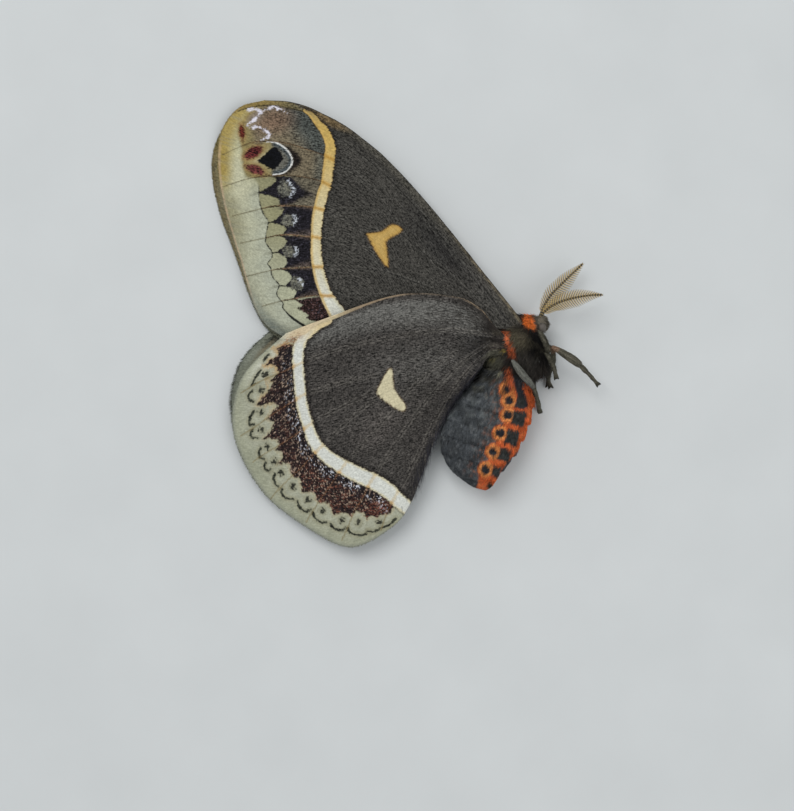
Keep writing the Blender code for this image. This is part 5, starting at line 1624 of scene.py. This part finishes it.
def comb_tree():
    """Sets one ramus on each root, turned to its direction and stretched to its length."""
    tree, given = new_tree("Comb", (("Roots", "Geometry"), ("Ramus", "Object"), ("Width", "Float"),
                                    ("Finish", "Material")))
    read = {name: add(tree, "GeometryNodeInputNamedAttribute", {"Name": name}, data_type=kind)[0]
            for name, kind in (("aim", "FLOAT_VECTOR"), ("bend", "FLOAT_VECTOR"), ("length", "FLOAT"))}
    turn = add(tree, "FunctionNodeAlignRotationToVector", {"Vector": read["aim"]}, axis="Z")[0]
    turn = add(tree, "FunctionNodeAlignRotationToVector", {"Rotation": turn, "Vector": read["bend"]},
               axis="X", pivot_axis="Z")[0]
    size = add(tree, "ShaderNodeCombineXYZ", {"X": given["Width"], "Y": given["Width"],
                                              "Z": read["length"]})[0]
    ramus = add(tree, "GeometryNodeObjectInfo", {"Object": given["Ramus"]})["Geometry"]
    points = add(tree, "GeometryNodeMeshToPoints", {"Mesh": given["Roots"]})[0]
    placed = add(tree, "GeometryNodeInstanceOnPoints",
                 {"Points": points, "Instance": ramus, "Rotation": turn, "Scale": size})[0]
    real = add(tree, "GeometryNodeRealizeInstances", {"Geometry": placed})[0]
    return close_tree(tree, real, given["Finish"])


def ramus_mesh():
    """One ramus a unit long: a thin rod that tapers to a blunt tip, bowed towards -X."""
    rings = []
    for place, size in ((0.0, 0.5), (0.35, 0.45), (0.7, 0.36), (1.0, 0.16)):
        angles = 2 * np.pi * np.arange(4) / 4
        rings.append(np.stack([size * np.cos(angles) - 1.5 * place ** 2, size * np.sin(angles),
                               np.full(4, place)], axis=1))
    return rings_mesh("ramus", np.array(rings))


def make_antennae(sizes):
    """Each feeler is a jointed shaft with two tiers of curved rami on each side, the lower tier tinted dark
    as painted shade between the rami.
    """
    tree = bpy.data.node_groups.get("Comb") or comb_tree()
    names = input_names(tree)
    ramus = new_object("ramus_rod", ramus_mesh())
    ramus.hide_render = True
    for name, points in ANTENNAE.items():
        points = np.array(points)
        pairs = sizes.antenna_pairs
        shares = np.linspace(0.14, 0.985, pairs)
        roots = along(points, shares)
        ahead = along(points, np.minimum(shares + 0.01, 1)) - along(points, shares - 0.01)
        ahead /= np.linalg.norm(ahead, axis=1)[:, None]
        swell = table(RAMUS_LENGTH, shares)
        aims, bends, lengths, starts, tints = [], [], [], [], []
        for root, direction, full in zip(roots, ahead, swell):
            for hand, lean, size in ((1.0, 60.0, 1.0), (-1.0, 72.0, 1.08)):
                # Upper tier in the tan of the rami; lower tier a darker copy, painted shade between the rami
                for tier, rise, code in ((0.0, 0.1, "#CDAF68"), (0.5, -0.3, "#6A5730")):
                    turn = Matrix.Rotation(hand * math.radians(lean), 3, "Z")
                    aim = np.array(turn @ Vector(direction)) + np.array([0, 0, rise])
                    starts.append(root + direction * tier * RAMUS_PITCH)
                    aims.append(aim / np.linalg.norm(aim))
                    bends.append(-direction)
                    lengths.append(full * size)
                    tints.append((*linear(code), 1.0))
        bed = bpy.data.meshes.new("roots")
        bed.from_pydata([tuple(p) for p in starts], [], [])
        set_attribute(bed, "aim", aims)
        set_attribute(bed, "bend", bends)
        set_attribute(bed, "length", lengths)
        set_attribute(bed, "tint", tints)
        obj = new_object("roots", bed)
        modifier = obj.modifiers.new("comb", "NODES")
        modifier.node_group = tree
        modifier[names["Ramus"]] = ramus
        modifier[names["Width"]] = 0.14
        modifier[names["Finish"]] = antenna_material()
        comb = evaluated_mesh(obj, "comb")
        steps = pairs * SHAFT_STEPS
        path, radii = along(points, np.linspace(0, 1, 20)), np.linspace(0.21, 0.15, 20)
        shaft = rings_mesh("shaft", tube_rings(path, radii, steps, SHAFT_SIDES))
        phase = np.repeat(np.arange(steps + 1) / SHAFT_STEPS, SHAFT_SIDES)
        dark = fade(0.46, 0.26, np.abs((phase % 1.0) - 0.5))
        tint = linear("#A48C56") * (1 - dark[:, None]) + linear("#1E170C") * dark[:, None]
        tint = np.vstack([tint, tint[:1], tint[-1:]])
        set_attribute(shaft, "tint", with_last(tint, 1.0))
        for other in ("aim", "bend", "length"):
            if other in comb.attributes:
                comb.attributes.remove(comb.attributes[other])
        mesh = join_meshes("comb_" + name, [shaft, comb])
        finish_mesh(mesh, "comb_" + name, antenna_material(), "antenna", name)
    bpy.data.objects.remove(ramus)


def bed_mesh(name, places, faces, colours, lie, length, cover, skin):
    """A thin surface that carries hairs only."""
    mesh = bpy.data.meshes.new(name)
    mesh.from_pydata([tuple(p) for p in places], [], faces)
    mesh.update()
    set_attribute(mesh, "tint", with_last(colours, 1.0))
    set_attribute(mesh, "lie", lie)
    set_attribute(mesh, "length", length)
    set_attribute(mesh, "cover", cover)
    set_attribute(mesh, "skin_place", with_last(skin, 0.0))
    return mesh


def grid_faces(rows, columns, flip=False):
    index = np.arange(rows * columns).reshape(rows, columns)
    faces = np.stack([index[:-1, :-1], index[:-1, 1:], index[1:, 1:], index[1:, :-1]], axis=-1).reshape(-1, 4)
    return (faces[:, ::-1] if flip else faces).tolist()


def make_wing_hair(sizes):
    """Long hairs of the wing roots and the hindwings' inner margin, and the fringe of each margin."""
    for name, reach in FRINGE_REACH:
        wing = Wing(name, HAIR_GRID, HAIR_GRID)
        outer_z, _ = wing.heights(np.zeros(wing.x.shape), 0.1)
        places = np.stack([wing.x, wing.y, outer_z], axis=-1)
        u = np.broadcast_to(wing.u[:, None], wing.x.shape)
        v = np.broadcast_to(wing.v[None, :], wing.x.shape)
        out = np.gradient(places, axis=0)
        out /= np.linalg.norm(out, axis=-1)[..., None] + 1e-9
        cross = np.gradient(places, axis=1)
        cross /= np.linalg.norm(cross, axis=-1)[..., None] + 1e-9
        rows, columns = wing.x.shape
        x, y = wing.local[..., 0].ravel(), wing.local[..., 1].ravel()
        from_rear = wing.across[:, -1:] - wing.across
        if wing.hind:
            rear = fade(4.2, 0.3, from_rear) * fade(0.97, 0.7, u)
            base = fade(0.13, 0.08, u)
            cover = np.maximum(np.maximum(fade(0.42, 0.12, u) * 0.7, rear), base * 2.2)
            lie = out + cross * (0.35 * fade(6.0, 0.5, from_rear))[..., None]
            length = 1.5 + 1.0 * rear + 0.7 * fade(0.3, 0.1, u)
        else:
            base = fade(0.07, 0.03, u)
            edge = fade(1.6, 0.2, wing.across) * fade(0.7, 0.3, u)
            cover = np.maximum(fade(0.3, 0.08, u) * 0.6 + edge * 0.25, base * 2.0)
            lie = out
            length = np.full(u.shape, 1.2)
        lie = lie / np.linalg.norm(lie, axis=-1)[..., None]
        middle = lie * (length * 0.45)[..., None]
        deep = (fade(3.0, 0.5, from_rear) * wing.hind).ravel()[:, None]
        colours = linear("#45423E") * (1 - deep) + linear("#35343A") * deep
        colours = colours * (1 + 0.6 * noise(x, y, 0.45, 95))[:, None]
        root = base.ravel()[:, None]
        body = paint_body(x + middle[..., 0].ravel(), y + middle[..., 1].ravel(), np.zeros(x.shape))
        colours = colours * (1 - root) + body * root
        skin = np.stack([u.ravel(), v.ravel()], axis=1) * 0.96 + 0.02
        bed = bed_mesh(name + "_bed", places.reshape(-1, 3), grid_faces(rows, columns, wing.side < 0),
                       colours, lie.reshape(-1, 3), length.ravel(), cover.ravel(), skin)
        grow_coat(name + "_hair", bed, {"Density": sizes.wing_hair_density, "Width": 0.06, "Lift": 0.05,
                                        "Scatter": 0.12, "Seed": 7}, "wing")

        # Fringe: a strip along the margin whose hairs point outwards
        margin, outward = places[-1], out[-1].copy()
        if wing.side < 0:
            outward[:, 2] = np.maximum(outward[:, 2], 0.12)
        strip = np.stack([margin - outward * 0.12, margin], axis=0)
        strip[..., 2] += 0.07 if wing.side < 0 else -0.03
        xy = wing.local[-1]
        paint = paint_hindwing if wing.hind else paint_forewing
        colours = paint(xy[:, 0], xy[:, 1], np.full(columns, 0.97), wing.v, wing.across[-1])
        # Left fringes: their own duller colour with painted shade
        if wing.side < 0:
            colours = dull_and_shaded_far_side(colours, wing.hind)
        mix = 0.4 if wing.hind else 0.1
        colours = np.vstack([colours, colours]) * (1 - mix) + linear("#7F8379") * mix
        fringe_v = np.stack([np.repeat([0.9, 1.0], columns), np.tile(wing.v, 2)], axis=1) * 0.96 + 0.02
        bed = bed_mesh(name + "_margin", strip.reshape(-1, 3), grid_faces(2, columns, wing.side < 0),
                       colours, np.vstack([outward, outward]), np.full(2 * columns, reach),
                       np.ones(2 * columns), fringe_v)
        grow_coat(name + "_fringe", bed, {"Density": sizes.fringe_density, "Width": 0.07, "Lift": 0.0,
                                          "Scatter": 0.16, "Seed": 9}, "wing")


def make_stage(sizes):
    mesh = bpy.data.meshes.new("floor")
    half = 1.2
    mesh.from_pydata([(-half, -half, 0), (half, -half, 0), (half, half, 0), (-half, half, 0)], [],
                     [(0, 1, 2, 3)])
    mesh.materials.append(floor_material())
    floor = new_object("floor", mesh)

    for name, place, size, power in (("key_light", (-0.25, 0.35, 0.75), 0.5, sizes.key_power),
                                     ("fill_light", (0.45, -0.25, 0.6), 0.6, sizes.fill_power)):
        light = bpy.data.lights.new(name, "AREA")
        light.size = size
        light.energy = power
        lamp = new_object(name, light)
        lamp.location = place
        lamp.rotation_euler = (-Vector(place)).to_track_quat("-Z", "Y").to_euler()
    world = bpy.data.worlds.new("soft_room")
    world.use_nodes = True
    background = world.node_tree.nodes["Background"]
    background.inputs["Color"].default_value = shader_colour("#E8ECEF")
    background.inputs["Strength"].default_value = sizes.room_light
    bpy.context.scene.world = world

    camera = bpy.data.cameras.new("overhead_camera")
    camera.type = "PERSP"
    camera.sensor_width = 36.0
    camera.lens = 85.0
    camera.clip_start = 0.01
    camera.clip_end = 10.0
    rig = new_object("overhead_camera", camera)
    rig.location = (*sizes.view_centre, sizes.camera_height)
    bpy.context.scene.camera = rig
    bpy.context.scene.view_settings.view_transform = "Standard"


# Add-on classes

class MothSizes(bpy.types.PropertyGroup):
    """Sizes and amounts a user would change."""

    wing_thickness: bpy.props.FloatProperty(
        name="Wing thickness", description="Thickness of a wing with its scales", default=0.00016,
        min=0.00005, max=0.0005, precision=5, subtype="DISTANCE", unit="LENGTH")
    thorax_density: bpy.props.FloatProperty(
        name="Thorax fur", description="Hairs on each square millimetre of thorax and head", default=40.0)
    abdomen_density: bpy.props.FloatProperty(
        name="Abdomen fur", description="Hairs on each square millimetre of abdomen", default=28.0)
    wing_hair_density: bpy.props.FloatProperty(
        name="Wing hair", description="Hairs on each square millimetre of wing root and inner margin",
        default=22.0)
    fringe_density: bpy.props.FloatProperty(
        name="Fringe", description="Hairs on each square millimetre of the strip along a margin",
        default=240.0)
    leg_density: bpy.props.FloatProperty(
        name="Leg hair", description="Hairs on each square millimetre of a leg", default=30.0)
    antenna_pairs: bpy.props.IntProperty(
        name="Ramus rows", description="Rows of rami along each feeler", default=26, min=5, max=60)
    key_power: bpy.props.FloatProperty(
        name="Key light", description="Power of the main soft light", default=3.7, unit="POWER")
    fill_power: bpy.props.FloatProperty(
        name="Fill light", description="Power of the second soft light", default=1.8, unit="POWER")
    room_light: bpy.props.FloatProperty(
        name="Room light", description="Strength of the light from all round", default=0.5)
    camera_height: bpy.props.FloatProperty(
        name="Camera height", description="Height of the camera over the floor", default=0.3227,
        precision=4, subtype="DISTANCE", unit="LENGTH")
    view_centre: bpy.props.FloatVectorProperty(
        name="View centre", description="Point of the floor in the middle of the picture", size=2,
        default=(-0.00158, -0.01367), precision=5, subtype="XYZ", unit="LENGTH")


class MOTH_OT_wings(bpy.types.Operator):
    """Builds the four wings with their scales, veins and markings"""

    bl_idname = "moth.wings"
    bl_label = "Wings"

    def execute(self, context):
        make_wings(context.scene.moth_sizes)
        return {"FINISHED"}


class MOTH_OT_body(bpy.types.Operator):
    """Builds the skin of head, thorax and abdomen and its fur"""

    bl_idname = "moth.body"
    bl_label = "Body and fur"

    def execute(self, context):
        make_body(context.scene.moth_sizes)
        return {"FINISHED"}


class MOTH_OT_eyes(bpy.types.Operator):
    """Builds both compound eyes"""

    bl_idname = "moth.eyes"
    bl_label = "Eyes"

    def execute(self, context):
        make_eyes()
        return {"FINISHED"}


class MOTH_OT_legs(bpy.types.Operator):
    """Builds the six legs with their claws"""

    bl_idname = "moth.legs"
    bl_label = "Legs"

    def execute(self, context):
        make_legs(context.scene.moth_sizes)
        return {"FINISHED"}


class MOTH_OT_antennae(bpy.types.Operator):
    """Builds both comb-shaped feelers"""

    bl_idname = "moth.antennae"
    bl_label = "Feelers"

    def execute(self, context):
        make_antennae(context.scene.moth_sizes)
        return {"FINISHED"}


class MOTH_OT_wing_hair(bpy.types.Operator):
    """Grows the long hairs of the wings and their fringes"""

    bl_idname = "moth.wing_hair"
    bl_label = "Wing hair and fringes"

    def execute(self, context):
        make_wing_hair(context.scene.moth_sizes)
        return {"FINISHED"}


class MOTH_OT_stage(bpy.types.Operator):
    """Sets the floor, the soft lights and the camera"""

    bl_idname = "moth.stage"
    bl_label = "Stage"

    def execute(self, context):
        make_stage(context.scene.moth_sizes)
        return {"FINISHED"}


OPERATORS = (MOTH_OT_wings, MOTH_OT_body, MOTH_OT_eyes, MOTH_OT_legs, MOTH_OT_antennae,
             MOTH_OT_wing_hair, MOTH_OT_stage)


class MOTH_PT_panel(bpy.types.Panel):
    """Lists the sizes and the pieces"""

    bl_idname = "MOTH_PT_panel"
    bl_label = "Calleta silkmoth"
    bl_space_type = "VIEW_3D"
    bl_region_type = "UI"
    bl_category = "Moth"

    def draw(self, context):
        for name in MothSizes.__annotations__:
            self.layout.prop(context.scene.moth_sizes, name)
        for operator in OPERATORS:
            self.layout.operator(operator.bl_idname)


CLASSES = (MothSizes, *OPERATORS, MOTH_PT_panel)


def register():
    for cls in CLASSES:
        bpy.utils.register_class(cls)
    bpy.types.Scene.moth_sizes = bpy.props.PointerProperty(type=MothSizes)


def unregister():
    del bpy.types.Scene.moth_sizes
    for cls in reversed(CLASSES):
        bpy.utils.unregister_class(cls)


def main():
    register()
    bpy.ops.moth.wings()
    bpy.ops.moth.body()
    bpy.ops.moth.eyes()
    bpy.ops.moth.legs()
    bpy.ops.moth.antennae()
    bpy.ops.moth.wing_hair()
    bpy.ops.moth.stage()
    strand = bpy.data.objects.get("hair_strand")
    if strand:
        bpy.data.objects.remove(strand)


if __name__ == "__main__":
    main()
